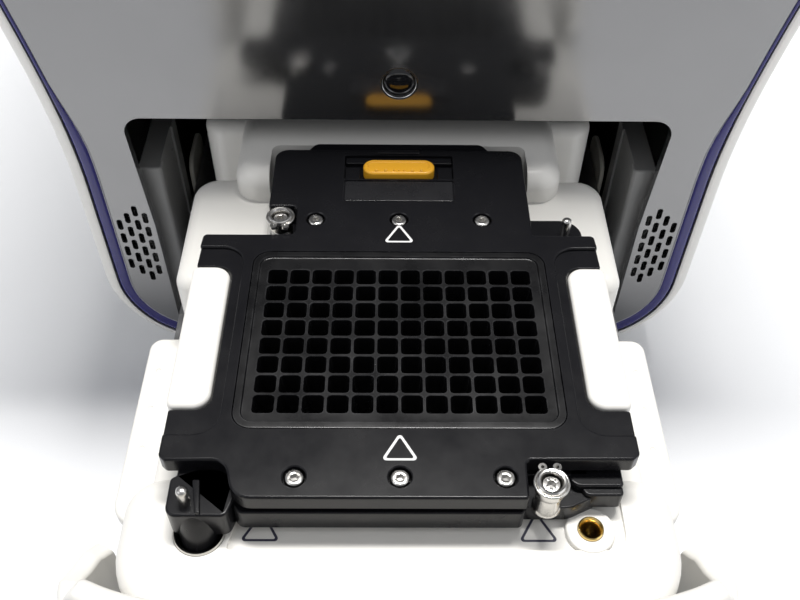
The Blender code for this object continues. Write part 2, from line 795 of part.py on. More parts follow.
def deck_blocks(shrink):
    """The deck's stepped shape, as rounded blocks: main deck, front body, shoulder, upper step and rear box."""
    low = TRAY_TOP + GAP if not shrink else TRAY_TOP - 0.02
    shapes = []
    steps = (
        (0.091, -0.060, 0.050, -0.0250, 0.004, 0.004, 0.0025),
        (0.099, -0.1055, -0.050, -0.0220, 0.030, 0.014, 0.0060),
        (0.0985, 0.045, 0.117, -0.0205, 0.008, 0.012, 0.0060),
        (0.077, 0.098, DRAWER_REAR, -0.0050, 0.010, 0.010, 0.0060),
        (0.097, 0.140, DRAWER_REAR - 0.0005, -0.0080, 0.008, 0.008, 0.0040),
    )
    for half, front, back, top, front_corner, back_corner, edge in steps:
        x, low_y, high_y = half - shrink, front + shrink, back - shrink
        near, far = front_corner - shrink * 0.7, back_corner - shrink * 0.7
        corners = [(-x, low_y, near), (x, low_y, near), (x, high_y, far), (-x, high_y, far)]
        outline = rounded(placed(corners), 3)
        shapes.append(soft_top(outline, low, BLOCK_TOP + top - shrink, edge - shrink * 0.5, 2))
    return shapes


def side_plates(shrink):
    """The deck's raised plates, which stand in the cover's notches, or with shrink the hollows under them."""
    plates = []
    front, back = SIDE_PLATE_Y[0] + shrink, SIDE_PLATE_Y[1] - shrink
    for sign in (-1, 1):
        low_x, high_x = sorted((sign * (SIDE_PLATE_X[0] + shrink), sign * (SIDE_PLATE_X[1] - shrink)))
        corners = [(low_x, front), (high_x, front), (high_x, back), (low_x, back)]
        outline = rounded(placed([(x, y, 0.005 - shrink) for x, y in corners]), 2)
        low, high = BLOCK_TOP - 0.0270 - shrink / 2, BLOCK_TOP - GAP - shrink
        plates.append(soft_top(outline, low, high, 0.0016, 1) if not shrink else prism(outline, low, high))
    return plates


def make_deck(look, drawer):
    first, *rest = deck_blocks(0)
    deck = add("drawer_deck", first, look["white"], parent=drawer)
    join(deck, rest + side_plates(0))
    for hollow in deck_blocks(0.003) + side_plates(0.003):
        cut(deck, [hollow])
    pocket_low = BLOCK_TOP + MODULE_BASE_LOW - 0.0008
    tongue = rounded(
        placed(
            [(-0.0600, 0.040, 0), (0.0600, 0.040, 0), (0.0600, 0.1210, 0.004), (-0.0600, 0.1210, 0.004)]
        ),
        2,
    )
    cut(deck, [prism(tongue, pocket_low, BLOCK_TOP + 0.02)])
    well = rounded(
        placed(
            [
                (x, y, 0.005)
                for x, y in ((-0.062, -0.046), (0.062, -0.046), (0.062, 0.050), (-0.062, 0.050))
            ],
        ),
        2,
    )
    cut(deck, [prism(well, BLOCK_TOP - 0.040, BLOCK_TOP + 0.02)])
    ring_place = (GUIDE_POST[0], BLOCK_Y + GUIDE_POST[1], 0)
    bush_place = (GUIDE_BUSH[0], BLOCK_Y + GUIDE_BUSH[1], 0)
    cut(deck, [rod(ring_place, 0.0093, BLOCK_TOP - 0.040, BLOCK_TOP)])
    cut(deck, [rod(bush_place, 0.0049, BLOCK_TOP - 0.040, BLOCK_TOP)])

    top = BLOCK_TOP - 0.0220
    ring = [
        (0.0078, top - 0.008), (0.0090, top - 0.008), (0.0090, top + 0.0006), (0.0078, top + 0.0010)
    ]
    add("guide_ring", turned(ring, ring_place, closed=True, steps=24), look["steel"], parent=drawer)
    bush = [
        (0.0031, top - 0.010),
        (0.0046, top - 0.010),
        (0.0046, top + 0.0014),
        (0.0038, top + 0.0018),
        (0.0031, top + 0.0010),
    ]
    add("guide_bush", turned(bush, bush_place, closed=True), look["brass"], parent=drawer)


def panel_stations():
    """Plan points along the drawer front from its middle to its right end, with the top edge's height."""
    flat, reach, depth = 0.058, 0.065, 0.035
    front = -0.115
    stations = [(0.0, front, 0.003), (flat * 0.5, front, 0.003)]
    for k in range(9):
        angle = math.pi / 2 * k / 8
        x = flat + reach * math.sin(angle)
        y = front + depth * (1 - math.cos(angle))
        height = 0.003 - 0.045 * ease((x - 0.100) / 0.023)
        stations.append((x, y, height))
    stations += [(0.1220, -0.072, -0.0480), (0.1200, -0.064, -0.0510), (0.1175, -0.058, -0.0560)]
    return stations


def make_drawer_front(look, drawer):
    right = panel_stations()
    stations = [(-x, y, z) for x, y, z in reversed(right[1:])] + right
    low = BLOCK_TOP - 0.137
    count = len(stations)
    outer, inner = [[], [], []], [[], [], []]
    for i, (x, y, height) in enumerate(stations):
        before, after = stations[max(i - 1, 0)], stations[min(i + 1, count - 1)]
        along = Vector((after[0] - before[0], after[1] - before[1])).normalized()
        inward = Vector((-along.y, along.x)) * PANEL_THICK
        top = BLOCK_TOP + height
        for row, z, share in ((0, low, 0.0), (1, top - 0.003, 0.0), (2, top, 0.3)):
            outer[row].append((x + inward.x * share, BLOCK_Y + y + inward.y * share, z))
            inner[row].append((x + inward.x * (1 - share), BLOCK_Y + y + inward.y * (1 - share), z))
    add("drawer_front", wall(outer, inner), look["white"], parent=drawer)


def make_drawer(look):
    drawer = pivot("drawer_axis", (0, BLOCK_Y, TRAY_TOP))
    wing = [
        (TRAY_HALF, -0.100, 0.012),
        (TRAY_HALF, -0.050, 0.004),
        (WING_HALF, -0.046, 0.010),
        (WING_HALF, 0.047, 0.005),
    ]
    wing += [(TRAY_HALF, 0.047, 0.004), (TRAY_HALF, DRAWER_REAR, 0.004)]
    outline = rounded(placed(mirrored(wing)), 3)
    add("drawer_tray", prism(outline, TRAY_TOP - TRAY_THICK, TRAY_TOP), look["white"], parent=drawer)
    make_deck(look, drawer)
    make_drawer_front(look, drawer)
    make_drive(look, drawer)
    return drawer


def cover_outline():
    """Plan of the module's black cover: arms at the corners, notches in the sides, a tongue behind."""
    right = [
        (0.0434, -0.0702, 0.0012),
        (0.0437, -0.0552, 0.002),
        (0.0808, -0.0550, 0.002),
        (0.0835, -0.0528, 0.002),
    ]
    side = [
        (0.0835, -0.0337, 0.001),
        (0.0684, -0.0337, 0.006),
        (0.0684, 0.0375, 0.006),
        (0.0835, 0.0375, 0.001),
    ]
    side += [(0.0830, 0.0555, 0.002), (0.0570, 0.0555, 0.001)]
    tongue = [(0.0570, 0.1120, 0.006), (0.0430, 0.1120, 0.004), (0.0390, 0.1180, 0.004)]
    left = [(-x, y, r) for x, y, r in reversed(side + tongue)]
    notch = left.index((-0.0570, 0.0555, 0.001))
    pocket = [
        (-0.0570, 0.0730, 0.001),
        (-0.0445, 0.0730, 0.002),
        (-0.0445, 0.0560, 0.002),
        (-0.0570, 0.0555, 0),
    ]
    left[notch : notch + 1] = pocket
    front_left = [
        (-0.0835, -0.0536, 0.002),
        (-0.0812, -0.0557, 0.002),
        (-0.0602, -0.0554, 0.006),
        (-0.0565, -0.0702, 0.008),
    ]
    return right + side + tongue + left + front_left


def screw_hole(x, y, top):
    profile = [
        (0, -0.02), (0.0018, -0.02), (0.0018, -0.0040), (0.0038, -0.0040), (0.0038, 0.002), (0, 0.002)
    ]
    return turned(profile, (x, y, top), steps=12)


def make_wells():
    wells = []
    for row in range(WELL_ROWS):
        for column in range(WELL_COLUMNS):
            x = (column - (WELL_COLUMNS - 1) / 2) * WELL_PITCH
            y = (row - (WELL_ROWS - 1) / 2) * WELL_PITCH
            half = WELL_SIZE / 2
            wells.append(
                block(
                    (x - half, BLOCK_Y + y - half, BLOCK_TOP - WELL_DEPTH),
                    (x + half, BLOCK_Y + y + half, BLOCK_TOP + 0.01),
                ),
            )
    return wells


def make_heat_sink(look, module):
    half, top, low, fins = 0.055, BLOCK_TOP - 0.0214, BLOCK_TOP - 0.0560, 18
    spacing = 2 * half / fins
    outline = [(-half, top), (-half, low)]
    for x in [k * spacing - half for k in range(fins)]:
        outline += [(x + 0.0025, low), (x + 0.0025, top - 0.006)]
        if x + 1.5 * spacing < half:
            outline += [(x + spacing, top - 0.006), (x + spacing, low)]
    outline += [(half, top - 0.006), (half, top)]
    add(
        "heat_sink",
        prism(outline, BLOCK_Y - 0.041, BLOCK_Y + 0.043, "Y"),
        look["aluminium"],
        parent=module,
    )


def make_module(look, drawer):
    module = pivot("module_axis", (0, BLOCK_Y, BLOCK_TOP), drawer)
    window = rectangle(
        BLOCK_HALF_X + GAP,
        BLOCK_SHIFT_Y - BLOCK_HALF_Y - GAP,
        BLOCK_SHIFT_Y + BLOCK_HALF_Y + GAP,
        0.0073,
    )
    window = [(x, BLOCK_Y + y) for x, y in window]
    plate = soft_top(rounded(placed(cover_outline()), 3), BLOCK_TOP - COVER_THICK, BLOCK_TOP, 0.0008, 1)
    cover = add("module_cover", plate, look["black"], parent=module)
    cut(cover, [prism(window, BLOCK_TOP - 0.03, BLOCK_TOP + 0.01)])
    cut(cover, [screw_hole(x, BLOCK_Y + y, BLOCK_TOP) for x in SCREW_X for y in SCREW_Y])
    recess = rounded(
        placed(
            [
                (-0.0245, 0.0915, 0.001),
                (0.0245, 0.0915, 0.001),
                (0.0245, 0.1080, 0.001),
                (-0.0245, 0.1080, 0.001),
            ],
        ),
        1,
    )
    cut(cover, [prism(recess, BLOCK_TOP - 0.0030, BLOCK_TOP + 0.01)])

    low, high = BLOCK_TOP + MODULE_BASE_LOW, BLOCK_TOP - COVER_THICK - GAP
    side = [(0.0665, 0.0540, 0.003), (0.0565, 0.0560, 0.002), (0.0565, 0.1190, 0.005)]
    corners = [(0.0430, -0.0708, 0.001), (0.0430, -0.0664, 0), (0.0590, -0.0664, 0.008)]
    corners += [(0.0665, -0.0630, 0.002)] + side + [(-x, y, r) for x, y, r in reversed(side)]
    corners += [(-0.0665, -0.0560, 0.003), (-0.0575, -0.0708, 0.004)]
    base = add(
        "module_base",
        prism(rounded(placed(corners), 3), low, high),
        look["black"],
        parent=module,
    )
    cut(base, [prism(window, BLOCK_TOP - 0.03, BLOCK_TOP + 0.01)])
    shelf = [(0.0445, -0.0760), (0.0700, -0.0760), (0.0700, -0.0560), (0.0445, -0.0560)]
    shelf = rounded(placed([(x, y, 0) for x, y in shelf]), 1)
    cut(base, [prism(shelf, BLOCK_TOP + SHELF_TOP, BLOCK_TOP + 0.01)])
    front_left = [
        (-0.0796, -0.0733, 0.004),
        (-0.0585, -0.0733, 0.003),
        (-0.0560, -0.0650, 0),
        (-0.0560, -0.0540, 0),
    ]
    front_left += [(-0.0796, -0.0540, 0.002)]
    front_upper = [
        (0.0600, -0.0600, 0.003), (0.0784, -0.0600, 0.001), (0.0784, -0.0530, 0), (0.0600, -0.0530, 0)
    ]
    front_lower = [
        (0.0640, -0.0627, 0.002), (0.0784, -0.0627, 0.001), (0.0784, -0.0530, 0), (0.0640, -0.0530, 0)
    ]
    rear_right = [
        (0.0550, 0.0560, 0), (0.0800, 0.0560, 0.001), (0.0800, 0.0720, 0.009), (0.0550, 0.0720, 0.002)
    ]
    ears = (
        (front_left, EAR_TOP),
        (front_upper, MODULE_BASE_LOW + 0.0105),
        (front_lower, MODULE_BASE_LOW + 0.0087),
        (rear_right, EAR_TOP),
    )
    for ear, ear_top in ears:
        join(base, [prism(rounded(placed(ear), 3), low + 0.001, BLOCK_TOP + ear_top)])
    cover_room = grown(rounded(placed(cover_outline()), 3), 2 * GAP)
    cut(base, [prism(cover_room, high, BLOCK_TOP + 0.01)])
    for x, y in (CAPTIVE_REAR, CAPTIVE_FRONT):
        cut(base, [rod((x, BLOCK_Y + y, 0), 0.0058, BLOCK_TOP - 0.0136, BLOCK_TOP + 0.01)])
    post = (GUIDE_POST[0], BLOCK_Y + GUIDE_POST[1], 0)
    join(base, [rod(post, 0.0068, BLOCK_TOP - 0.040, high - 0.002)])
    pin = [(0, -0.0140), (0.0020, -0.0140), (0.0020, 0.0005), (0.0015, 0.0015), (0, 0.0017)]
    join(base, [turned(pin, (x, BLOCK_Y + y, BLOCK_TOP), steps=12) for x, y in GUIDE_PINS])

    rim_low, rim_high = BLOCK_TOP - 0.0180, BLOCK_TOP
    outline = rectangle(BLOCK_HALF_X, BLOCK_SHIFT_Y - BLOCK_HALF_Y, BLOCK_SHIFT_Y + BLOCK_HALF_Y, 0.007)
    outline = [(x, BLOCK_Y + y) for x, y in outline]
    sample = add("sample_block", prism(outline, rim_low, rim_high), look["anodised"], parent=module)
    cut(sample, make_wells())
    peltier = block(
        (-0.056, BLOCK_Y - 0.040, BLOCK_TOP - 0.0211), (0.056, BLOCK_Y + 0.042, BLOCK_TOP - 0.0183)
    )
    add("peltier_stack", peltier, look["ceramic"], parent=module)
    make_heat_sink(look, module)

    head = [(0, -0.0088), (0.0015, -0.0088), (0.0015, -0.0037), (0.0029, -0.0037)]
    head += [(0.0029, -0.0006), (0.0013, -0.0006), (0.0013, -0.0022), (0, -0.0022)]
    number = 0
    for y in SCREW_Y:
        for x in SCREW_X:
            number += 1
            place = (x, BLOCK_Y + y, BLOCK_TOP)
            add(f"module_screw_{number}", turned(head, place, steps=12), look["steel"], parent=module)

    captive = [(0, -0.0132), (0.0050, -0.0132), (0.0050, -0.0020), (0.0054, -0.0015), (0.0054, 0.0030)]
    captive += [(0.0046, 0.0040), (0.0024, 0.0040), (0.0024, 0.0015), (0, 0.0015)]
    for name, (x, y) in (("captive_screw_rear", CAPTIVE_REAR), ("captive_screw_front", CAPTIVE_FRONT)):
        place = (x, BLOCK_Y + y, BLOCK_TOP)
        add(name, turned(captive, place), look["steel"], place, module)

    pill = [
        (-LATCH_HALF, LATCH_Y[0]),
        (LATCH_HALF, LATCH_Y[0]),
        (LATCH_HALF, LATCH_Y[1]),
        (-LATCH_HALF, LATCH_Y[1]),
    ]
    outline = rounded(placed([(x, y, 0.0048) for x, y in pill]), 4)
    latch = soft_top(outline, BLOCK_TOP - 0.0027, BLOCK_TOP + 0.0025, 0.0010, 2)
    add("release_latch", latch, look["orange"], (0, BLOCK_Y + LATCH_Y[0], BLOCK_TOP), module)


def make_looks():
    return {
        "white": finish("warm_white_plastic", (0.80, 0.79, 0.76), 0.45),
        "grey": finish("grey_plastic", (0.22, 0.22, 0.225), 0.25),
        "blue": finish("indigo_plastic", (0.018, 0.012, 0.19), 0.30),
        "black": finish("black_plastic", (0.018, 0.018, 0.020), 0.42),
        "anodised": finish("black_anodised", (0.015, 0.015, 0.016), 0.35, 0.4),
        "orange": finish("orange_plastic", (0.95, 0.42, 0.02), 0.35),
        "glass": finish("dark_glass", (0.010, 0.010, 0.012), 0.05),
        "rubber": finish("black_rubber", (0.03, 0.03, 0.03), 0.80),
        "steel": finish("bright_steel", (0.62, 0.61, 0.60), 0.25, 1.0),
        "dark_metal": finish("dark_sheet_metal", (0.08, 0.08, 0.085), 0.50, 0.6),
        "aluminium": finish("aluminium", (0.72, 0.73, 0.74), 0.35, 1.0),
        "brass": finish("brass", (0.80, 0.52, 0.16), 0.25, 1.0),
        "board": finish("green_board", (0.02, 0.16, 0.06), 0.50),
        "ceramic": finish("white_ceramic", (0.80, 0.80, 0.78), 0.60),
    }


def main():
    clear_scene()
    look = make_looks()
    make_housing(look)
    make_front(look)
    make_rear(look)
    make_inside(look)
    drawer = make_drawer(look)
    make_module(look, drawer)


main()
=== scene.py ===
import math

import bmesh
import bpy
from mathutils import Matrix, Vector


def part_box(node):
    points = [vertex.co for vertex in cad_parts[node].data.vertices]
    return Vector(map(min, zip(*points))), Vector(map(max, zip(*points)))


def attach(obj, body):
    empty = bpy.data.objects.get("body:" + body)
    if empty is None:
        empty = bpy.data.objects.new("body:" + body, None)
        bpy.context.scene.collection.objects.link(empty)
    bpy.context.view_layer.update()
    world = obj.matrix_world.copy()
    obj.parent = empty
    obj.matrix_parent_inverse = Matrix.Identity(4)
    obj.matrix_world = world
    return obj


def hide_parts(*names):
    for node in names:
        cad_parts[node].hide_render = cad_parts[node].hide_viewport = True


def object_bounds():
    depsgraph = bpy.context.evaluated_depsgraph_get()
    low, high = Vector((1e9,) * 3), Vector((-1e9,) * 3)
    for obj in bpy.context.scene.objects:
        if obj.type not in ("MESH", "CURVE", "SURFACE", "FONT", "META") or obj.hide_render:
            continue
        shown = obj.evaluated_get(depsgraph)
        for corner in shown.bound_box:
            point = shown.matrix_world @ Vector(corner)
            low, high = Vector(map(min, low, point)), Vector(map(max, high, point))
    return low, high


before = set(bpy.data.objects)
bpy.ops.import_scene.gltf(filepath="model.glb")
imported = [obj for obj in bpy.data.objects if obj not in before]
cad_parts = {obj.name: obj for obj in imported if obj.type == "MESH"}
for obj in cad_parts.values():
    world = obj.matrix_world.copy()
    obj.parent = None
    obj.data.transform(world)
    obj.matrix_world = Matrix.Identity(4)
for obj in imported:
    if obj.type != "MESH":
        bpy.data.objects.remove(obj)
CAD_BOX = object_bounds()

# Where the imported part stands, in metres.
BLOCK_LOW, BLOCK_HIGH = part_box("sample_block")
FASCIA_LOW, FASCIA_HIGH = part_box("front_fascia")
REAR_LOW, REAR_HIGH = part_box("rear_panel")
TRAY_LOW, TRAY_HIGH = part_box("drawer_tray")
RACK_LOW, RACK_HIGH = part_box("drive_rack")
BLOCK_SHIFT_Y = 0.0013
BLOCK_TOP = BLOCK_HIGH.z
BLOCK_Y = (BLOCK_LOW.y + BLOCK_HIGH.y) / 2 - BLOCK_SHIFT_Y
FASCIA_Y = FASCIA_LOW.y
REAR_Y = CAD_BOX[1][1]
BODY_BOTTOM = 0.0066
BODY_TOP = 0.640
TRAY_TOP = TRAY_HIGH.z
TRAY_THICK = TRAY_HIGH.z - TRAY_LOW.z
DRAWER_REAR = TRAY_HIGH.y - BLOCK_Y

# The tower's section and its lean, as in the CAD.
GAP = 0.0003
BASE_HALF = 0.164
HEAD_HALF = 0.200
FLARE_LOW, FLARE_HIGH = 0.132, 0.389
BOTTOM_RADIUS = 0.0555
TOP_RADIUS = 0.055
WALL = 0.003
LEAN_START = 0.260
LEAN_SLOPE = 0.16
LEAN_BLEND = 0.05
CORNER_STEPS = 14
SIDE_STEPS = 56
FASCIA_THICK = 0.005
OPENING_HALF_LOW, OPENING_HALF_HIGH = 0.1265, 0.1300
OPENING_TOP = BLOCK_TOP + 0.009
SENSOR_Z = BLOCK_TOP + 0.029
SENSOR_R = 0.0080
SCREEN_HALF, SCREEN_LOW, SCREEN_HIGH = 0.118, 0.300, 0.505
VENT_COLUMNS = ((0.1448, 4), (0.1400, 5), (0.1353, 6), (0.1308, 5))
VENT_PITCH = 0.00965
VENT_MIDDLE_Z = BLOCK_TOP - 0.0739
VENT_SLOT = (0.0027, 0.0070)

# The block module and the drawer, measured from the block's middle.
WELL_PITCH = 0.009
WELL_COLUMNS, WELL_ROWS = 12, 8
BLOCK_HALF_X = (BLOCK_HIGH.x - BLOCK_LOW.x) / 2
BLOCK_HALF_Y = (BLOCK_HIGH.y - BLOCK_LOW.y) / 2
WELL_DROP = 0.0009
COVER_THICK = 0.009
FLANGE_DROP = 0.0015
MODULE_LOW = -0.020
SCREW_X = (-0.036, 0.0, 0.036)
SCREW_Y = (-0.062, 0.065)
CAPTIVE_REAR = (-0.0508, 0.0633)
CAPTIVE_FRONT = (0.0508, -0.0658)
GUIDE_POST = (-0.0700, -0.0712)
GUIDE_BUSH = (0.0672, -0.0703)
GUIDE_PINS = ((0.0725, 0.0636), (-0.0730, -0.0680))
EAR_TOP = -0.0067
LATCH_Y = (0.0923, 0.1022)
LATCH_HALF = 0.0162
SIDE_PLATE_X = (0.0690, 0.0847)
SIDE_PLATE_Y = (-0.0331, 0.0369)

SPAN = {"X": (1, 2, 0), "Y": (0, 2, 1), "Z": (0, 1, 2)}


# ---------------------------------------------------------------- materials

def new_material(name):
    made = bpy.data.materials.new(name)
    made.use_nodes = True
    tree = made.node_tree
    return made, tree, tree.nodes["Principled BSDF"]


def noise(tree, source, scale, detail=4.0, rough=0.55, stretch=None):
    """Noise in the object's own coordinates, with its scale in features a metre."""
    if stretch:
        mapping = tree.nodes.new("ShaderNodeMapping")
        mapping.inputs["Scale"].default_value = stretch
        tree.links.new(source, mapping.inputs["Vector"])
        source = mapping.outputs["Vector"]
    made = tree.nodes.new("ShaderNodeTexNoise")
    made.inputs["Scale"].default_value = scale
    made.inputs["Detail"].default_value = detail
    made.inputs["Roughness"].default_value = rough
    tree.links.new(source, made.inputs["Vector"])
    return made.outputs["Fac"]


def spread(tree, value, low, high, start=0.3, end=0.7):
    made = tree.nodes.new("ShaderNodeMapRange")
    made.inputs["From Min"].default_value = start
    made.inputs["From Max"].default_value = end
    made.inputs["To Min"].default_value = low
    made.inputs["To Max"].default_value = high
    tree.links.new(value, made.inputs["Value"])
    return made.outputs["Result"]


def mix(tree, share, first, second):
    made = tree.nodes.new("ShaderNodeMix")
    made.data_type = "RGBA"
    for socket, value in ((made.inputs[0], share), (made.inputs[6], first), (made.inputs[7], second)):
        if isinstance(value, bpy.types.NodeSocket):
            tree.links.new(value, socket)
        else:
            socket.default_value = value
    return made.outputs[2]


def edge_mask(tree, radius, low, high):
    """How near a convex or concave edge a point is, from how far a rounded normal turns."""
    soft = tree.nodes.new("ShaderNodeBevel")
    soft.samples = 4
    soft.inputs["Radius"].default_value = radius
    flat = tree.nodes.new("ShaderNodeNewGeometry")
    dot = tree.nodes.new("ShaderNodeVectorMath")
    dot.operation = "DOT_PRODUCT"
    tree.links.new(soft.outputs["Normal"], dot.inputs[0])
    tree.links.new(flat.outputs["Normal"], dot.inputs[1])
    return spread(tree, dot.outputs["Value"], 1.0, 0.0, low, high)


def tone(colour, factor, lift=0.0):
    return tuple(min(1.0, c * factor + lift) for c in colour[:3]) + (1.0,)


def surface(name, colour, rough, metallic=0.0, grain=2600.0, bump=0.12, depth=0.00003, blotch=0.06,
            blotch_scale=14.0, rough_spread=0.08, wear=0.0, wear_colour=None, stretch=None, coat=0.0,
            scratch=0.0, spec=0.5):
    """Plastic, paint or metal with fine grain, slow changes of tone and gloss, rubbed edges and fine scratches."""
    made, tree, shader = new_material(name)
    place = tree.nodes.new("ShaderNodeTexCoord").outputs["Object"]
    slow = noise(tree, place, blotch_scale, 5.0, 0.6)
    share = spread(tree, slow, 0.0, 1.0)
    base = mix(tree, share, tone(colour, 1 - blotch), tone(colour, 1 + blotch))
    fine = noise(tree, place, grain, 3.0, 0.6, stretch)
    speck = spread(tree, fine, 0.0, 0.5, 0.35, 0.75)
    base = mix(tree, speck, base, tone(colour, 1 - blotch * 1.6))
    if wear:
        edge = edge_mask(tree, 0.0009, 0.90, 0.995)
        patch = spread(tree, noise(tree, place, 90.0, 6.0, 0.7), 0.0, wear, 0.40, 0.72)
        both = tree.nodes.new("ShaderNodeMath")
        both.operation = "MULTIPLY"
        tree.links.new(edge, both.inputs[0])
        tree.links.new(patch, both.inputs[1])
        base = mix(tree, both.outputs[0], base, tone(wear_colour or colour, 1.0, 0.0 if wear_colour else 0.10))
    tree.links.new(base, shader.inputs["Base Color"])
    gloss = noise(tree, place, blotch_scale * 3.1, 6.0, 0.65)
    tree.links.new(spread(tree, gloss, rough - rough_spread, rough + rough_spread), shader.inputs["Roughness"])
    shader.inputs["Metallic"].default_value = metallic
    shader.inputs["Coat Weight"].default_value = coat
    shader.inputs["Coat Roughness"].default_value = 0.12
    shader.inputs["Specular IOR Level"].default_value = spec
    height = fine
    if scratch:
        lines = noise(tree, place, 300.0, 2.0, 0.5, (1.0, 0.05, 1.0))
        added = tree.nodes.new("ShaderNodeMath")
        added.operation = "MULTIPLY_ADD"
        tree.links.new(lines, added.inputs[0])
        added.inputs[1].default_value = scratch
        tree.links.new(fine, added.inputs[2])
        height = added.outputs[0]
    relief = tree.nodes.new("ShaderNodeBump")
    relief.inputs["Strength"].default_value = bump
    relief.inputs["Distance"].default_value = depth
    tree.links.new(height, relief.inputs["Height"])
    tree.links.new(relief.outputs["Normal"], shader.inputs["Normal"])
    return made


def board_surface():
    """Green board with copper traces and pads."""
    made, tree, shader = new_material("board_mask")
    place = tree.nodes.new("ShaderNodeTexCoord").outputs["Object"]
    bricks = tree.nodes.new("ShaderNodeTexBrick")
    bricks.inputs["Scale"].default_value = 90.0
    bricks.inputs["Mortar Size"].default_value = 0.03
    bricks.inputs["Color1"].default_value = (0.012, 0.13, 0.05, 1)
    bricks.inputs["Color2"].default_value = (0.018, 0.19, 0.07, 1)
    bricks.inputs["Mortar"].default_value = (0.03, 0.28, 0.10, 1)
    turn = tree.nodes.new("ShaderNodeMapping")
    turn.inputs["Rotation"].default_value = (math.pi / 2, 0, 0)
    tree.links.new(place, turn.inputs["Vector"])
    tree.links.new(turn.outputs["Vector"], bricks.inputs["Vector"])
    tree.links.new(bricks.outputs["Color"], shader.inputs["Base Color"])
    tree.links.new(spread(tree, noise(tree, place, 60.0), 0.3, 0.5), shader.inputs["Roughness"])
    return made


WHITE = surface("white_shell", (0.83, 0.815, 0.775), 0.42, grain=3400, bump=0.10, blotch=0.018, wear=0.3,
                wear_colour=(0.62, 0.60, 0.55), coat=0.08)
CREAM = surface("cream_trim", (0.72, 0.70, 0.62), 0.5, grain=3000, bump=0.10, blotch=0.03)
GREY = surface("grey_front", (0.25, 0.25, 0.252), 0.15, metallic=0.92, grain=5200, bump=0.03, blotch=0.05,
               blotch_scale=9, rough_spread=0.04, wear=0.15, coat=0.15)
POST_GREY = surface("grey_post", (0.27, 0.27, 0.265), 0.35, grain=5200, bump=0.05, blotch=0.05, wear=0.2)
INDIGO = surface("indigo_band", (0.011, 0.008, 0.150), 0.20, grain=4000, bump=0.05, blotch=0.10, coat=0.15)
# Pale blue-grey colour for a thin strip: a painted highlight standing for the light line along the band's inner edge.
PAINTED_GLINT = surface("band_painted_highlight", (0.52, 0.52, 0.60), 0.22, grain=4000, bump=0.04, blotch=0.05, coat=0.3)
BLACK = surface("black_moulding", (0.0070, 0.0070, 0.0086), 0.25, grain=3600, bump=0.08, blotch=0.14, wear=0.4,
                wear_colour=(0.045, 0.045, 0.05), rough_spread=0.04, spec=0.28)
ANODISED = surface("black_anodised", (0.0070, 0.0070, 0.0080), 0.30, metallic=0.35, grain=5000, bump=0.10,
                   blotch=0.12, wear=0.7, wear_colour=(0.10, 0.10, 0.105))
ORANGE = surface("orange_latch", (0.96, 0.475, 0.026), 0.36, grain=4200, bump=0.08, blotch=0.04, coat=0.15,
                 wear=0.3, wear_colour=(0.98, 0.55, 0.12))
STEEL = surface("bright_steel", (0.66, 0.645, 0.62), 0.22, metallic=1.0, grain=900, bump=0.12, blotch=0.07,
                stretch=(1.0, 1.0, 9.0), wear=0.3, wear_colour=(0.9, 0.89, 0.87))
SHEET = surface("zinc_sheet", (0.56, 0.56, 0.57), 0.34, metallic=1.0, grain=700, bump=0.10, blotch=0.16,
                blotch_scale=40, stretch=(1.0, 0.08, 1.0))
BRASS = surface("turned_brass", (0.74, 0.54, 0.20), 0.20, metallic=1.0, grain=1200, bump=0.12, blotch=0.08,
                stretch=(1.0, 1.0, 12.0), wear=0.3, wear_colour=(0.98, 0.80, 0.42))
ALUMINIUM = surface("satin_aluminium", (0.74, 0.745, 0.75), 0.32, metallic=1.0, grain=1200, bump=0.12,
                    blotch=0.05, stretch=(1.0, 0.06, 1.0))
COATED = surface("powder_coat", (0.052, 0.052, 0.056), 0.55, grain=1500, bump=0.45, depth=0.00008, blotch=0.10,
                 wear=0.4, wear_colour=(0.20, 0.20, 0.20))
RUBBER = surface("foot_rubber", (0.024, 0.024, 0.024), 0.78, grain=2200, bump=0.4, depth=0.00008, blotch=0.15)
GLASS = surface("dark_glass", (0.0075, 0.0075, 0.009), 0.055, grain=300, bump=0.01, blotch=0.2, rough_spread=0.03,
                coat=0.8)
DISPLAY = surface("display_area", (0.012, 0.014, 0.020), 0.10, grain=9000, bump=0.03, blotch=0.25,
                  rough_spread=0.03, coat=0.9)
CERAMIC = surface("white_ceramic", (0.78, 0.78, 0.75), 0.6, grain=1800, bump=0.25, blotch=0.05)
WHITE_INK = surface("white_ink", (0.78, 0.78, 0.77), 0.55, grain=6000, bump=0.10, blotch=0.04)
DARK_INK = surface("dark_ink", (0.045, 0.045, 0.075), 0.5, grain=6000, bump=0.10, blotch=0.06)
LABEL = surface("blank_label", (0.014, 0.014, 0.016), 0.30, grain=5000, bump=0.05, blotch=0.10, coat=0.1)
BOARD = board_surface()


# ---------------------------------------------------------------- shapes

def ease(t):
    t = min(max(t, 0.0), 1.0)
    return t * t * (3 - 2 * t)


def on_axis(axis, u, v, level):
    first, second, third = SPAN[axis]
    point = [0.0, 0.0, 0.0]
    point[first], point[second], point[third] = u, v, level
    return point


def prism(outline, low, high, axis="Z"):
    """Solid with a flat outline between two levels of an axis."""
    bm = bmesh.new()
    rings = [[bm.verts.new(on_axis(axis, u, v, level)) for u, v in outline] for level in (low, high)]
    for ring in rings:
        bm.faces.new(ring)
    for i in range(len(outline)):
        j = (i + 1) % len(outline)
        bm.faces.new((rings[0][i], rings[0][j], rings[1][j], rings[1][i]))
    bmesh.ops.recalc_face_normals(bm, faces=bm.faces)
    bm.normal_update()
    return bm


def block(low, high):
    corners = [(low[0], low[1]), (high[0], low[1]), (high[0], high[1]), (low[0], high[1])]
    return prism(corners, low[2], high[2])


def soft_block(low, high, radius, segments=3):
    bm = block(low, high)
    bmesh.ops.bevel(bm, geom=bm.edges, offset=radius, segments=segments, profile=0.5, affect="EDGES")
    return bm


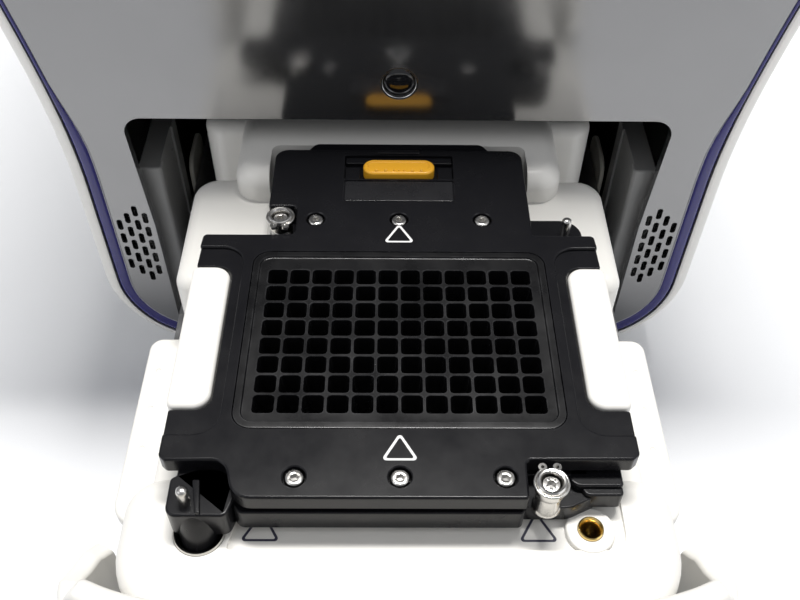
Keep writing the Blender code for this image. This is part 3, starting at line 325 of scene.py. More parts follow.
def soft_prism(outline, low, high, top=0.0, bottom=0.0, segments=4, axis="Z"):
    """Prism whose upper and lower rims are rounded."""
    bm = prism(outline, low, high, axis)
    third = SPAN[axis][2]
    for radius, level in ((top, high), (bottom, low)):
        if radius:
            rim = [e for e in bm.edges if all(abs(v.co[third] - level) < 1e-7 for v in e.verts)]
            bmesh.ops.bevel(bm, geom=rim, offset=radius, segments=segments, profile=0.5, affect="EDGES")
    return bm


def rounded(corners, segments=8):
    """Outline whose corners, each (u, v, radius), are arcs."""
    outline = []
    for i, (u, v, radius) in enumerate(corners):
        corner = Vector((u, v))
        if radius <= 0:
            outline.append((u, v))
            continue
        before = (Vector(corners[i - 1][:2]) - corner).normalized()
        after = (Vector(corners[(i + 1) % len(corners)][:2]) - corner).normalized()
        half = before.angle(after) / 2
        centre = corner + (before + after).normalized() * (radius / math.sin(half))
        start = corner + before * (radius / math.tan(half)) - centre
        end = corner + after * (radius / math.tan(half)) - centre
        first = math.atan2(start.y, start.x)
        turn = (math.atan2(end.y, end.x) - first + math.pi) % (2 * math.pi) - math.pi
        for k in range(segments + 1):
            angle = first + turn * k / segments
            outline.append((centre.x + radius * math.cos(angle), centre.y + radius * math.sin(angle)))
    return outline


def rectangle(half_u, low_v, high_v, radius, segments=8):
    corners = [(-half_u, low_v), (half_u, low_v), (half_u, high_v), (-half_u, high_v)]
    return rounded([(u, v, radius) for u, v in corners], segments)


def circle(u, v, radius, steps):
    angles = [2 * math.pi * k / steps for k in range(steps)]
    return [(u + radius * math.cos(a), v + radius * math.sin(a)) for a in angles]


def turned(profile, centre, axis="Z", steps=40, closed=False):
    """Turns (radius, height) points around an axis through the centre. A closed profile makes a ring."""
    bm = bmesh.new()
    rings = []
    for radius, height in profile:
        if radius == 0:
            rings.append([bm.verts.new(on_axis(axis, 0, 0, height))])
        else:
            rings.append([bm.verts.new(on_axis(axis, u, v, height)) for u, v in circle(0, 0, radius, steps)])
    pairs = list(zip(rings, rings[1:]))
    if closed:
        pairs.append((rings[-1], rings[0]))
    for lower, upper in pairs:
        for i in range(steps):
            j = (i + 1) % steps
            face = [lower[i % len(lower)], lower[j % len(lower)], upper[j % len(upper)], upper[i % len(upper)]]
            bm.faces.new(list(dict.fromkeys(face)))
    bmesh.ops.translate(bm, verts=bm.verts, vec=Vector(centre))
    return bm


def rod(centre, radius, low, high, axis="Z", steps=32):
    return turned([(0, low), (radius, low), (radius, high), (0, high)], centre, axis, steps)


def sheet(rows, ring=False, closed=False):
    """Surface through rows of points. ring joins each row's ends, and closed joins the last row to the first."""
    bm = bmesh.new()
    grid = [[bm.verts.new(point) for point in row] for row in rows]
    columns = len(rows[0])
    spans = [(c, (c + 1) % columns) for c in range(columns if ring else columns - 1)]
    levels = [(r, (r + 1) % len(rows)) for r in range(len(rows) if closed else len(rows) - 1)]
    for r, s in levels:
        for c, d in spans:
            bm.faces.new((grid[r][c], grid[r][d], grid[s][d], grid[s][c]))
    return bm, grid


def wall(outer, inner):
    """Open shell between two matching grids of points, with its four edges closed."""
    rows = outer + inner[::-1]
    bm, grid = sheet(rows, closed=True)
    count = len(outer)
    for c in (0, len(outer[0]) - 1):
        for r in range(count - 1):
            top, under = grid[r][c], grid[2 * count - 1 - r][c]
            bm.faces.new((top, grid[r + 1][c], grid[2 * count - 2 - r][c], under))
    return bm


def merge(*shapes):
    whole = bmesh.new()
    for shape in shapes:
        mesh = bpy.data.meshes.new("part")
        shape.to_mesh(mesh)
        shape.free()
        whole.from_mesh(mesh)
        bpy.data.meshes.remove(mesh)
    return whole


def raw(bm):
    bmesh.ops.recalc_face_normals(bm, faces=bm.faces)
    mesh = bpy.data.meshes.new("shape")
    bm.to_mesh(mesh)
    bm.free()
    obj = bpy.data.objects.new("shape", mesh)
    bpy.context.scene.collection.objects.link(obj)
    return obj


def bake(obj):
    """Applies an object's modifiers to its mesh."""
    graph = bpy.context.evaluated_depsgraph_get()
    mesh = bpy.data.meshes.new_from_object(obj.evaluated_get(graph))
    old = obj.data
    obj.modifiers.clear()
    obj.data = mesh
    bpy.data.meshes.remove(old)


def piece(name, bm, look, body, stands_for=(), cuts=(), joins=(), bevel=0.0, segments=3, angle=32,
          bevel_angle=35):
    """Makes a piece of the object: joins and cuts shapes, softens its edges, and hangs it on a body."""
    obj = raw(bm)
    obj.name = name
    obj.data.name = name
    tools = []
    for shapes, operation in ((joins, "UNION"), (cuts, "DIFFERENCE")):
        for shape in shapes:
            tool = raw(shape)
            tools.append(tool)
            modifier = obj.modifiers.new("tool", "BOOLEAN")
            modifier.operation = operation
            modifier.object = tool
            modifier.solver = "EXACT"
    if bevel:
        modifier = obj.modifiers.new("edges", "BEVEL")
        modifier.width = bevel
        modifier.segments = segments
        modifier.limit_method = "ANGLE"
        modifier.angle_limit = math.radians(bevel_angle)
        modifier.use_clamp_overlap = True
    if obj.modifiers:
        bake(obj)
    for tool in tools:
        mesh = tool.data
        bpy.data.objects.remove(tool)
        bpy.data.meshes.remove(mesh)
    obj.data.shade_smooth()
    obj.data.set_sharp_from_angle(angle=math.radians(angle))
    modifier = obj.modifiers.new("normals", "WEIGHTED_NORMAL")
    modifier.keep_sharp = True
    bake(obj)
    obj.data.materials.clear()
    obj.data.materials.append(look)
    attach(obj, body)
    if stands_for:
        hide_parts(*([stands_for] if isinstance(stands_for, str) else stands_for))
    return obj


def tube(name, points, radius, look, body, cyclic=False, stands_for=()):
    """Round wire along a line of points, as a mesh."""
    curve = bpy.data.curves.new(name, "CURVE")
    curve.dimensions = "3D"
    curve.bevel_depth = radius
    curve.bevel_resolution = 3
    curve.use_fill_caps = True
    spline = curve.splines.new("POLY")
    spline.points.add(len(points) - 1)
    for point, place in zip(spline.points, points):
        point.co = (*place, 1.0)
    spline.use_cyclic_u = cyclic
    holder = bpy.data.objects.new(name, curve)
    bpy.context.scene.collection.objects.link(holder)
    graph = bpy.context.evaluated_depsgraph_get()
    mesh = bpy.data.meshes.new_from_object(holder.evaluated_get(graph))
    bpy.data.objects.remove(holder)
    bpy.data.curves.remove(curve)
    obj = bpy.data.objects.new(name, mesh)
    bpy.context.scene.collection.objects.link(obj)
    mesh.shade_smooth()
    mesh.materials.clear()
    mesh.materials.append(look)
    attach(obj, body)
    if stands_for:
        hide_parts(stands_for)
    return obj


def placed(corners):
    """Corners (x, y, radius) measured from the block's middle, moved to where the block is."""
    return [(x, BLOCK_Y + y, radius) for x, y, radius in corners]


def plan(corners, segments=8):
    return rounded(placed(corners), segments)


def mirrored(right):
    return right + [(-x, y, radius) for x, y, radius in reversed(right)]


def at(x, y, z=0.0):
    return (x, BLOCK_Y + y, BLOCK_TOP + z)


# ---------------------------------------------------------------- tower

def tower_half(z):
    return BASE_HALF + (HEAD_HALF - BASE_HALF) * ease((z - FLARE_LOW) / (FLARE_HIGH - FLARE_LOW))


def band_inset(z):
    return 0.0035 + 0.0047 * ease((z - 0.012) / 0.044)


def fascia_inset(z):
    """How far the fascia's edge, where the band ends, lies inside the tower's outline."""
    return 0.0157 - 0.0047 * ease((z - 0.153) / 0.045)


def lean(z):
    rise = max(0.0, z - LEAN_START)
    return LEAN_SLOPE * (rise - LEAN_BLEND * (1 - math.exp(-rise / LEAN_BLEND)))


def tower_side(inset):
    """Right half of the outline, as (x, z) from under the base to the top, a distance inside the tower."""
    bottom = BODY_BOTTOM + inset(BODY_BOTTOM)
    top = BODY_TOP - inset(BODY_TOP)
    low_radius = BOTTOM_RADIUS - inset(BODY_BOTTOM)
    high_radius = TOP_RADIUS - inset(BODY_TOP)
    low_z, high_z = bottom + low_radius, top - high_radius
    low_x = tower_half(low_z) - inset(low_z) - low_radius
    high_x = tower_half(high_z) - inset(high_z) - high_radius
    points = []
    for k in range(CORNER_STEPS):
        angle = math.pi / 2 * (k / CORNER_STEPS - 1)
        points.append((low_x + low_radius * math.cos(angle), low_z + low_radius * math.sin(angle)))
    for k in range(SIDE_STEPS + 1):
        z = low_z + (high_z - low_z) * k / SIDE_STEPS
        points.append((tower_half(z) - inset(z), z))
    for k in range(1, CORNER_STEPS + 1):
        angle = math.pi / 2 * k / CORNER_STEPS
        points.append((high_x + high_radius * math.cos(angle), high_z + high_radius * math.sin(angle)))
    return points


def tower_outline(inset):
    right = tower_side(inset)
    return right + [(-x, z) for x, z in reversed(right)]


def shell_grids(pick):
    """Outer and inner grids of the housing, with its front rim and its rear rim rounded."""
    outer, inner = [], []
    depth = 0.0009
    out_line = pick(lambda z: band_inset(z) - 0.0017)
    in_line = pick(lambda z: band_inset(z) - GAP - 0.0005)
    outer.append([(x, FASCIA_Y + depth + lean(z), z) for x, z in out_line])
    inner.append([(x, FASCIA_Y + depth + lean(z), z) for x, z in in_line])
    for k in range(13):
        t = (k / 12) ** 1.5
        depth, share = 0.0012 + 0.0078 * t, (1 - t) ** 2.9
        out_line = pick(lambda z: (band_inset(z) - 0.0023) * share)
        in_line = pick(lambda z: min(band_inset(z) - GAP, (band_inset(z) - 0.0023) * share + WALL))
        outer.append([(x, FASCIA_Y + depth + lean(z), z) for x, z in out_line])
        inner.append([(x, FASCIA_Y + depth + lean(z), z) for x, z in in_line])
    for k in range(11):
        t = math.sin(math.pi / 2 * k / 10)
        inset = 0.014 * (1 - math.sqrt(max(0.0, 1 - t * t)))
        out_line = pick(lambda z: inset)
        in_line = pick(lambda z: inset + WALL)
        outer.append([(x, REAR_Y - 0.030 * (1 - t), z) for x, z in out_line])
        inner.append([(x, REAR_Y - 0.030 * (1 - t), z) for x, z in in_line])
    return outer, inner


def side_stretch(sign):
    def pick(inset):
        return [(sign * x, z) for x, z in tower_side(inset)[: CORNER_STEPS + SIDE_STEPS + 1]]

    return pick


def top_stretch(inset):
    right = tower_side(inset)[CORNER_STEPS + SIDE_STEPS :]
    right[0] = (right[0][0], right[0][1] + 2 * GAP)
    return right + [(-x, z) for x, z in reversed(right)]


def bottom_stretch(inset):
    x, bottom = tower_side(inset)[0]
    return [(GAP - x, bottom), (x - GAP, bottom)]


def leaning(outline, front, back, step=0.006):
    """Plate along the leaning front, between two depths behind it, cut into strips that follow the lean."""
    bm = prism(outline, FASCIA_Y + front, FASCIA_Y + back, "Y")
    low, high = min(z for _, z in outline), max(z for _, z in outline)
    level = max(low, LEAN_START) + step / 2
    while level < high - step / 4:
        geometry = list(bm.verts) + list(bm.edges) + list(bm.faces)
        bmesh.ops.bisect_plane(bm, geom=geometry, dist=2e-6, plane_co=(0, 0, level), plane_no=(0, 0, 1))
        level += step
    for vert in bm.verts:
        vert.co.y += lean(vert.co.z)
    return bm


def make_housing():
    for side, sign in (("left", -1), ("right", 1)):
        outer, inner = shell_grids(side_stretch(sign))
        piece(f"housing_{side}", wall(outer, inner), WHITE, "instrument", f"shell_{side}")
    outer, inner = shell_grids(top_stretch)
    piece("housing_top", wall(outer, inner), WHITE, "instrument", "top_cover")
    outer, inner = shell_grids(bottom_stretch)
    piece("housing_underside", wall(outer, inner), WHITE, "instrument", "base_pan")

    profile = [(0.0090, 0.0), (0.0034, 0.0), (0.0020, 0.05), (0.0011, 0.17), (0.0007, 0.35), (0.0006, 0.55)]
    profile += [(0.0008, 0.74), (0.0013, 0.84), (0.0022, 0.88), (0.0040, 0.885), (0.0090, 0.885)]
    rows = []
    for depth, share in profile:
        line = tower_outline(lambda z: band_inset(z) + (fascia_inset(z) - band_inset(z)) * share)
        rows.append([(x, FASCIA_Y + depth + lean(z), z) for x, z in line])
    bm, _ = sheet(rows, ring=True, closed=True)
    piece("band_ring", bm, INDIGO, "instrument", "accent_band")

    # Thin pale strip between the indigo band and the fascia: a painted highlight for the band's light edge line.
    profile = [(0.0060, 0.90), (0.0012, 0.90), (0.0005, 0.92), (0.0003, 0.955), (0.0005, 0.985), (0.0012, 1.0)]
    profile += [(0.0060, 1.0)]
    rows = []
    for depth, share in profile:
        line = tower_outline(lambda z: band_inset(z) + (fascia_inset(z) - band_inset(z)) * share)
        rows.append([(x, FASCIA_Y + depth + lean(z), z) for x, z in line])
    bm, _ = sheet(rows, ring=True, closed=True)
    piece("band_painted_highlight_edge", bm, PAINTED_GLINT, "instrument")


def vent_slots(sign):
    half_w, half_h = VENT_SLOT[0] / 2, VENT_SLOT[1] / 2
    for x, count in VENT_COLUMNS:
        for k in range(count):
            z = VENT_MIDDLE_Z + (k - (count - 1) / 2) * VENT_PITCH
            corners = ((-half_w, -half_h), (half_w, -half_h), (half_w, half_h), (-half_w, half_h))
            slot = rounded([(sign * x + u, z + v, 0.0012) for u, v in corners], 4)
            yield prism(slot, FASCIA_Y - 0.01, FASCIA_Y + 0.02, "Y")


def make_front():
    opening = rounded(
        [
            (-OPENING_HALF_LOW, -0.02, 0),
            (OPENING_HALF_LOW, -0.02, 0),
            (OPENING_HALF_LOW, BLOCK_TOP - 0.06, 0),
            (OPENING_HALF_HIGH, OPENING_TOP, 0.009),
            (-OPENING_HALF_HIGH, OPENING_TOP, 0.009),
            (-OPENING_HALF_LOW, BLOCK_TOP - 0.06, 0),
        ]
    )
    plate = leaning(tower_outline(lambda z: fascia_inset(z) + GAP), 0, FASCIA_THICK)
    recess = rectangle(SCREEN_HALF, SCREEN_LOW, SCREEN_HIGH, 0.008)
    cuts = [
        prism(opening, FASCIA_Y - 0.05, FASCIA_Y + 0.05, "Y"),
        rod((0, 0, SENSOR_Z), SENSOR_R + GAP, FASCIA_Y - 0.01, FASCIA_Y + 0.02, "Y"),
        merge(*vent_slots(-1), *vent_slots(1)),
        leaning(recess, -0.01, 0.0028),
    ]
    piece("front_plate", plate, GREY, "instrument", "front_fascia", cuts=cuts, bevel=0.0005, segments=2,
          bevel_angle=50)
    frame_room = rectangle(SCREEN_HALF - GAP, SCREEN_LOW + GAP, SCREEN_HIGH - GAP, 0.0077)
    piece("screen_glass", leaning(frame_room, 0.0002, 0.0025), GLASS, "instrument", "touch_screen",
          bevel=0.0004, segments=2, bevel_angle=50)
    area = rectangle(SCREEN_HALF - 0.012, SCREEN_LOW + 0.012, SCREEN_HIGH - 0.012, 0.002)
    piece("screen_display", leaning(area, 0.00015, 0.0004), DISPLAY, "instrument")

    dome = [(0, 0.0006), (0.0030, 0.0007), (0.0052, 0.0010), (0.0066, 0.0016), (0.0073, 0.0024), (0.0073, 0.013)]
    dome.append((0, 0.013))
    piece("sensor_window", turned(dome, (0, FASCIA_Y, SENSOR_Z), "Y"), GLASS, "instrument", "sensor_lens")
    ring = [(0.0074, 0.0042), (0.0075, 0.0012), (0.0076, 0.0004), (0.0078, 0.0002), (0.0080, 0.0006)]
    ring += [(0.0080, 0.0090), (0.0074, 0.0090)]
    piece("sensor_ring", turned(ring, (0, FASCIA_Y, SENSOR_Z), "Y", closed=True), ALUMINIUM, "instrument")

    for side, sign in (("left", -1), ("right", 1)):
        low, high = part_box(f"post_{side}")
        wide = [(low.x, low.y), (high.x, low.y), (high.x, high.y), (low.x, high.y)]
        post = soft_prism(rounded([(x, y, 0.0018) for x, y in wide], 5), low.z, high.z, top=0.0010, segments=3)
        inner = high.x if sign < 0 else low.x
        groove = block((inner - 0.0012, low.y + 0.006, low.z - 0.01), (inner + 0.0012, high.y - 0.010, high.z + 0.01))
        piece(f"drawer_post_{side}", post, POST_GREY, "instrument", f"post_{side}", cuts=[groove], bevel=0.0003,
              segments=2)
        near = min(sign * 0.1165, sign * 0.1190)
        guide = [(0.178, -0.112), (0.212, -0.112), (0.212, -0.064), (0.178, -0.064)]
        side_on = rounded([(BLOCK_Y + y, BLOCK_TOP + z, 0.010 if z > -0.1 else 0.002) for y, z in guide], 6)
        shape = soft_prism(side_on, near, near + 0.0025, 0.0008, 0.0008, 3, "X")
        piece(f"drawer_guide_{side}", shape, CREAM, "instrument")


# ---------------------------------------------------------------- rear

def make_rear():
    back = REAR_Y - 0.006
    rotor_low, rotor_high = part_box("fan_rotor")
    hub = (rotor_low + rotor_high) / 2
    dish = [(0, -0.0090), (0.0115, -0.0090), (0.0135, -0.0082), (0.0140, -0.0065), (0.0140, 0.0080), (0.0128, 0.0090)]
    dish.append((0, 0.0090))
    shapes = []
    for k in range(7):
        rows = []
        for i in range(9):
            reach = 0.0125 + (0.0352 - 0.0125) * i / 8
            twist = math.radians(56 - 26 * i / 8)
            sweep = 0.35 * (i / 8) ** 1.5
            row = []
            for j in range(7):
                chord = (j / 6 - 0.5) * 0.0175
                bow = 0.0014 * (1 - (2 * j / 6 - 1) ** 2)
                along, across = chord * math.cos(twist), chord * math.sin(twist) + bow
                angle = sweep + along / reach
                row.append((reach * math.cos(angle), across * 0.9, reach * math.sin(angle)))
            rows.append(row)
        thin = [[(x, y + 0.0012, z) for x, y, z in row] for row in rows]
        blade = wall(rows, thin)
        bmesh.ops.rotate(blade, verts=blade.verts, matrix=Matrix.Rotation(2 * math.pi * k / 7, 3, "Y"))
        bmesh.ops.translate(blade, verts=blade.verts, vec=hub)
        shapes.append(blade)
    piece("fan_hub", turned(dish, hub, "Y", 36), BLACK, "fan", "fan_rotor")
    piece("fan_blades", merge(*shapes), BLACK, "fan")

    fan = (hub.x, back, hub.z)
    for number, radius in enumerate((0.0415, 0.0330, 0.0230, 0.0130)):
        loop = [(fan[0] + u, back + 0.0014, fan[2] + v) for u, v in circle(0, 0, radius, 64)]
        stands = "fan_guard" if number == 0 else ()
        tube(f"guard_ring_{number + 1}", loop, 0.0010, STEEL, "instrument", True, stands)
    for number in range(4):
        angle = math.pi / 4 + math.pi / 2 * number
        ends = [(fan[0] + r * math.cos(angle), back + 0.0031 - 0.0012, fan[2] + r * math.sin(angle)) for r in (0.013, 0.0500)]
        tube(f"guard_spoke_{number + 1}", ends, 0.0009, STEEL, "instrument")
        place = (fan[0] + 0.0500 * math.cos(angle), back, fan[2] + 0.0500 * math.sin(angle))
        head = [(0, 0.0004), (0.0040, 0.0004), (0.0040, 0.0016), (0.0032, 0.0030), (0.0015, 0.0036), (0, 0.0037)]
        cross = [block((-0.0018, 0.0026, -0.0003), (0.0018, 0.0050, 0.0003)), block((-0.0003, 0.0026, -0.0018), (0.0003, 0.0050, 0.0018))]
        for shape in cross:
            bmesh.ops.translate(shape, verts=shape.verts, vec=Vector(place))
        piece(f"guard_screw_{number + 1}", turned(head, place, "Y", 24), STEEL, "instrument", cuts=cross)
    number = 0
    for x in (-0.125, 0.125):
        for z in (0.060, 0.230, 0.420):
            number += 1
            head = [(0, 0.0002), (0.0036, 0.0002), (0.0036, 0.0010), (0.0028, 0.0022), (0, 0.0026)]
            cross = [block((x - 0.0017, back + 0.0016, z - 0.0003), (x + 0.0017, back + 0.005, z + 0.0003)),
                     block((x - 0.0003, back + 0.0016, z - 0.0017), (x + 0.0003, back + 0.005, z + 0.0017))]
            piece(f"panel_screw_{number}", turned(head, (x, back, z), "Y", 24), STEEL, "instrument", cuts=cross)


# ---------------------------------------------------------------- drawer

def panel_stations():
    """Plan points along the drawer front from its middle to its right end, with the top edge's height."""
    flat, reach, depth, front = 0.058, 0.065, 0.035, -0.115
    stations = [(flat * k / 8, front, 0.003) for k in range(8)]
    for k in range(33):
        angle = math.pi / 2 * k / 32
        x = flat + reach * math.sin(angle)
        stations.append((x, front + depth * (1 - math.cos(angle)), 0.003 - 0.045 * ease((x - 0.100) / 0.023)))
    tail = [(0.1230, -0.080, -0.0420), (0.1220, -0.072, -0.0480), (0.1200, -0.064, -0.0510), (0.1175, -0.058, -0.0560)]
    for a, b in zip(tail, tail[1:]):
        for k in range(1, 5):
            t = k / 4
            stations.append(tuple(u + (v - u) * t for u, v in zip(a, b)))
    return stations


def make_drawer_front():
    right = panel_stations()
    stations = [(-x, y, z) for x, y, z in reversed(right[1:])] + right
    low, thick, soft = -0.137, 0.008, 0.0028
    count = len(stations)
    rows = []
    profile = [(low + 0.0015, 0.0), (low + 0.0004, 0.0004), (low, 0.0015), (low, thick - 0.0015)]
    profile += [(low + 0.0004, thick - 0.0004), (low + 0.0015, thick)]
    rim = []
    for k in range(7):
        angle = math.pi / 2 * k / 6
        rim.append((-soft + soft * math.sin(angle), thick - soft + soft * math.cos(angle)))
    rim += [(drop, thick - inward) for drop, inward in reversed(rim)]
    for kind, level, inward in [("low", z, d) for z, d in profile] + [("top", z, d) for z, d in rim]:
        row = []
        for i, (x, y, height) in enumerate(stations):
            before, after = stations[max(i - 1, 0)], stations[min(i + 1, count - 1)]
            along = Vector((after[0] - before[0], after[1] - before[1])).normalized()
            point = Vector((x, y)) + Vector((-along.y, along.x)) * inward
            row.append(at(point.x, point.y, level if kind == "low" else height + level))
        rows.append(row)
    bm, grid = sheet(rows, closed=True)
    for c in (0, count - 1):
        bm.faces.new([row[c] for row in grid])
    piece("front_bow", bm, WHITE, "drawer", "drawer_front")


def make_deck():
    """The drawer's stepped body, moulded in one, with the places where the module and its guides go."""
    steps = (
        (0.099, -0.1055, -0.048, -0.0220, 0.030, 0.014, 0.0060),
        (0.091, -0.060, 0.052, -0.0250, 0.006, 0.004, 0.0030),
        (0.0985, 0.045, 0.117, -0.0205, 0.008, 0.012, 0.0062),
        (0.077, 0.098, DRAWER_REAR, -0.0050, 0.012, 0.010, 0.0085),
        (0.097, 0.140, DRAWER_REAR - 0.0005, -0.0080, 0.010, 0.010, 0.0070),
    )
    shapes = []
    for half, front, back, top, near, far, edge in steps:
        corners = [(-half, front, near), (half, front, near), (half, back, far), (-half, back, far)]
        shapes.append(soft_prism(plan(corners, 10), TRAY_TOP + GAP, BLOCK_TOP + top, top=edge, segments=7))
    for sign in (-1, 1):
        near, far = sign * SIDE_PLATE_X[0], sign * SIDE_PLATE_X[1]
        corners = [(near, SIDE_PLATE_Y[0], 0.0066), (far, SIDE_PLATE_Y[0], 0.0030)]
        corners += [(far, SIDE_PLATE_Y[1], 0.0030), (near, SIDE_PLATE_Y[1], 0.0066)]
        shapes.append(soft_prism(plan(corners, 10), BLOCK_TOP - 0.0400, BLOCK_TOP - GAP, top=0.0018, segments=6))
    pocket = plan([(-0.0600, 0.040, 0), (0.0600, 0.040, 0), (0.0600, 0.1210, 0.004), (-0.0600, 0.1210, 0.004)], 5)
    well = plan([(x, y, 0.005) for x, y in ((-0.062, -0.046), (0.062, -0.046), (0.062, 0.050), (-0.062, 0.050))], 5)
    floor = plan([(-0.0600, -0.0779, 0.001), (0.0797, -0.0779, 0.0065), (0.0797, -0.0480, 0.001), (-0.0550, -0.0480, 0.001)])
    boss = soft_prism([(u, v) for u, v in circle(GUIDE_BUSH[0], BLOCK_Y + GUIDE_BUSH[1], 0.0088, 48)],
                      BLOCK_TOP - 0.030, BLOCK_TOP - 0.0214, top=0.0008)
    cuts = [
        prism(pocket, BLOCK_TOP + MODULE_LOW - 0.0008, BLOCK_TOP + 0.02),
        prism(well, BLOCK_TOP - 0.040, BLOCK_TOP + 0.02),
        prism(floor, BLOCK_TOP - 0.0236, BLOCK_TOP + 0.02),
        rod((GUIDE_POST[0], BLOCK_Y + GUIDE_POST[1], 0), 0.0093, BLOCK_TOP - 0.040, BLOCK_TOP, steps=48),
        rod((GUIDE_BUSH[0], BLOCK_Y + GUIDE_BUSH[1], 0), 0.0047, BLOCK_TOP - 0.040, BLOCK_TOP, steps=48),
    ]
    piece("deck_moulding", shapes[0], WHITE, "drawer", "drawer_deck", joins=shapes[1:], cuts=cuts,
                 bevel=0.0007, segments=3, bevel_angle=55)
    bush_room = rod((GUIDE_BUSH[0], BLOCK_Y + GUIDE_BUSH[1], 0), 0.0047, BLOCK_TOP - 0.040, BLOCK_TOP, steps=48)
    piece("bush_boss", boss, WHITE, "drawer", cuts=[bush_room])

    top = -0.0220
    ring = [(0.0076, top - 0.012), (0.0076, top - 0.0006), (0.0079, top - 0.0001), (0.0083, top + 0.0006)]
    ring += [(0.0088, top + 0.0010), (0.0091, top + 0.0006), (0.0092, top - 0.0004), (0.0092, top - 0.012)]
    piece("post_socket", turned(ring, at(*GUIDE_POST), steps=56, closed=True), STEEL, "drawer", "guide_ring")
    # Black disc low in the guide socket: painted shade, a dark sheet that darkens the bottom of the hole.
    floor = [(0, top - 0.0125), (0.0078, top - 0.0125), (0.0078, top - 0.0115), (0, top - 0.0115)]
    piece("socket_painted_shade", turned(floor, at(*GUIDE_POST)), BLACK, "drawer")
    bush = [(0.0027, top - 0.0090), (0.0027, top - 0.0008), (0.0031, top + 0.0004), (0.0036, top + 0.0012)]
    bush += [(0.0041, top + 0.0018), (0.0045, top + 0.0016), (0.0046, top + 0.0008), (0.0046, top - 0.0090)]
    piece("pin_bush", turned(bush, at(*GUIDE_BUSH), steps=48, closed=True), BRASS, "drawer", "guide_bush")
    # Black disc low in the pin bush: painted shade, a dark sheet that darkens the bottom of the hole.
    floor = [(0, top - 0.0100), (0.0044, top - 0.0100), (0.0044, top - 0.0095), (0, top - 0.0095)]
    piece("bush_painted_shade", turned(floor, at(*GUIDE_BUSH)), BLACK, "drawer")


def make_tray():
    wing = [(0.099, -0.100, 0.012), (0.099, -0.050, 0.006), (0.115, -0.046, 0.010), (0.115, 0.047, 0.006)]
    wing += [(0.099, 0.047, 0.004), (0.099, DRAWER_REAR, 0.004)]
    tray = soft_prism(plan(mirrored(wing)), TRAY_TOP - TRAY_THICK, TRAY_TOP, top=0.0016, bottom=0.0006, segments=4)
    dents = []
    for sign in (-1, 1):
        for y in (0.0280, 0.0075, -0.0130):
            dent = bmesh.new()
            bmesh.ops.create_uvsphere(dent, u_segments=16, v_segments=10, radius=0.0016)
            bmesh.ops.translate(dent, verts=dent.verts, vec=Vector((sign * 0.1085, BLOCK_Y + y, TRAY_TOP + 0.0009)))
            dents.append(dent)
    piece("tray_moulding", tray, WHITE, "drawer", "drawer_tray", cuts=[merge(*dents)])


# ---------------------------------------------------------------- module

def cover_edges():
    """The cover's right-hand corners: front, notch and shoulder, from front to back."""
    front = [(0.0434, -0.0702, 0.0012), (0.0437, -0.0552, 0.002), (0.0808, -0.0550, 0.002), (0.0835, -0.0528, 0.002)]
    notch = [(0.0835, -0.0337, 0.001), (0.0684, -0.0337, 0.006), (0.0684, 0.0375, 0.006), (0.0835, 0.0375, 0.001)]
    shoulder = [(0.0830, 0.0555, 0.002), (0.0570, 0.0555, 0.001)]
    return front, notch, shoulder


def cover_outline(step_in):
    """Plan of the cover, or with step_in of its raised part, which stands back from the notches and the tongue's end."""
    front, notch, shoulder = cover_edges()
    if step_in:
        notch = [(0.0835, -0.0448, 0.001), (0.0645, -0.0448, 0.009), (0.0645, 0.0476, 0.009), (0.0835, 0.0476, 0.001)]
        tongue = [(0.0570, 0.1120, 0.006)]
    else:
        tongue = [(0.0570, 0.1117, 0.006), (0.0430, 0.1117, 0.004), (0.0390, 0.1180, 0.004)]
    side = notch + shoulder
    left = [(-x, y, r) for x, y, r in reversed(side + tongue)]
    spot = left.index((-0.0570, 0.0555, 0.001))
    pocket = [(-0.0570, 0.0730, 0.001), (-0.0445, 0.0730, 0.002), (-0.0445, 0.0560, 0.002), (-0.0570, 0.0555, 0)]
    left[spot : spot + 1] = pocket
    front_left = [(-0.0835, -0.0536, 0.002), (-0.0812, -0.0557, 0.002), (-0.0602, -0.0554, 0.006), (-0.0565, -0.0702, 0.008)]
    return front + side + tongue + left + front_left


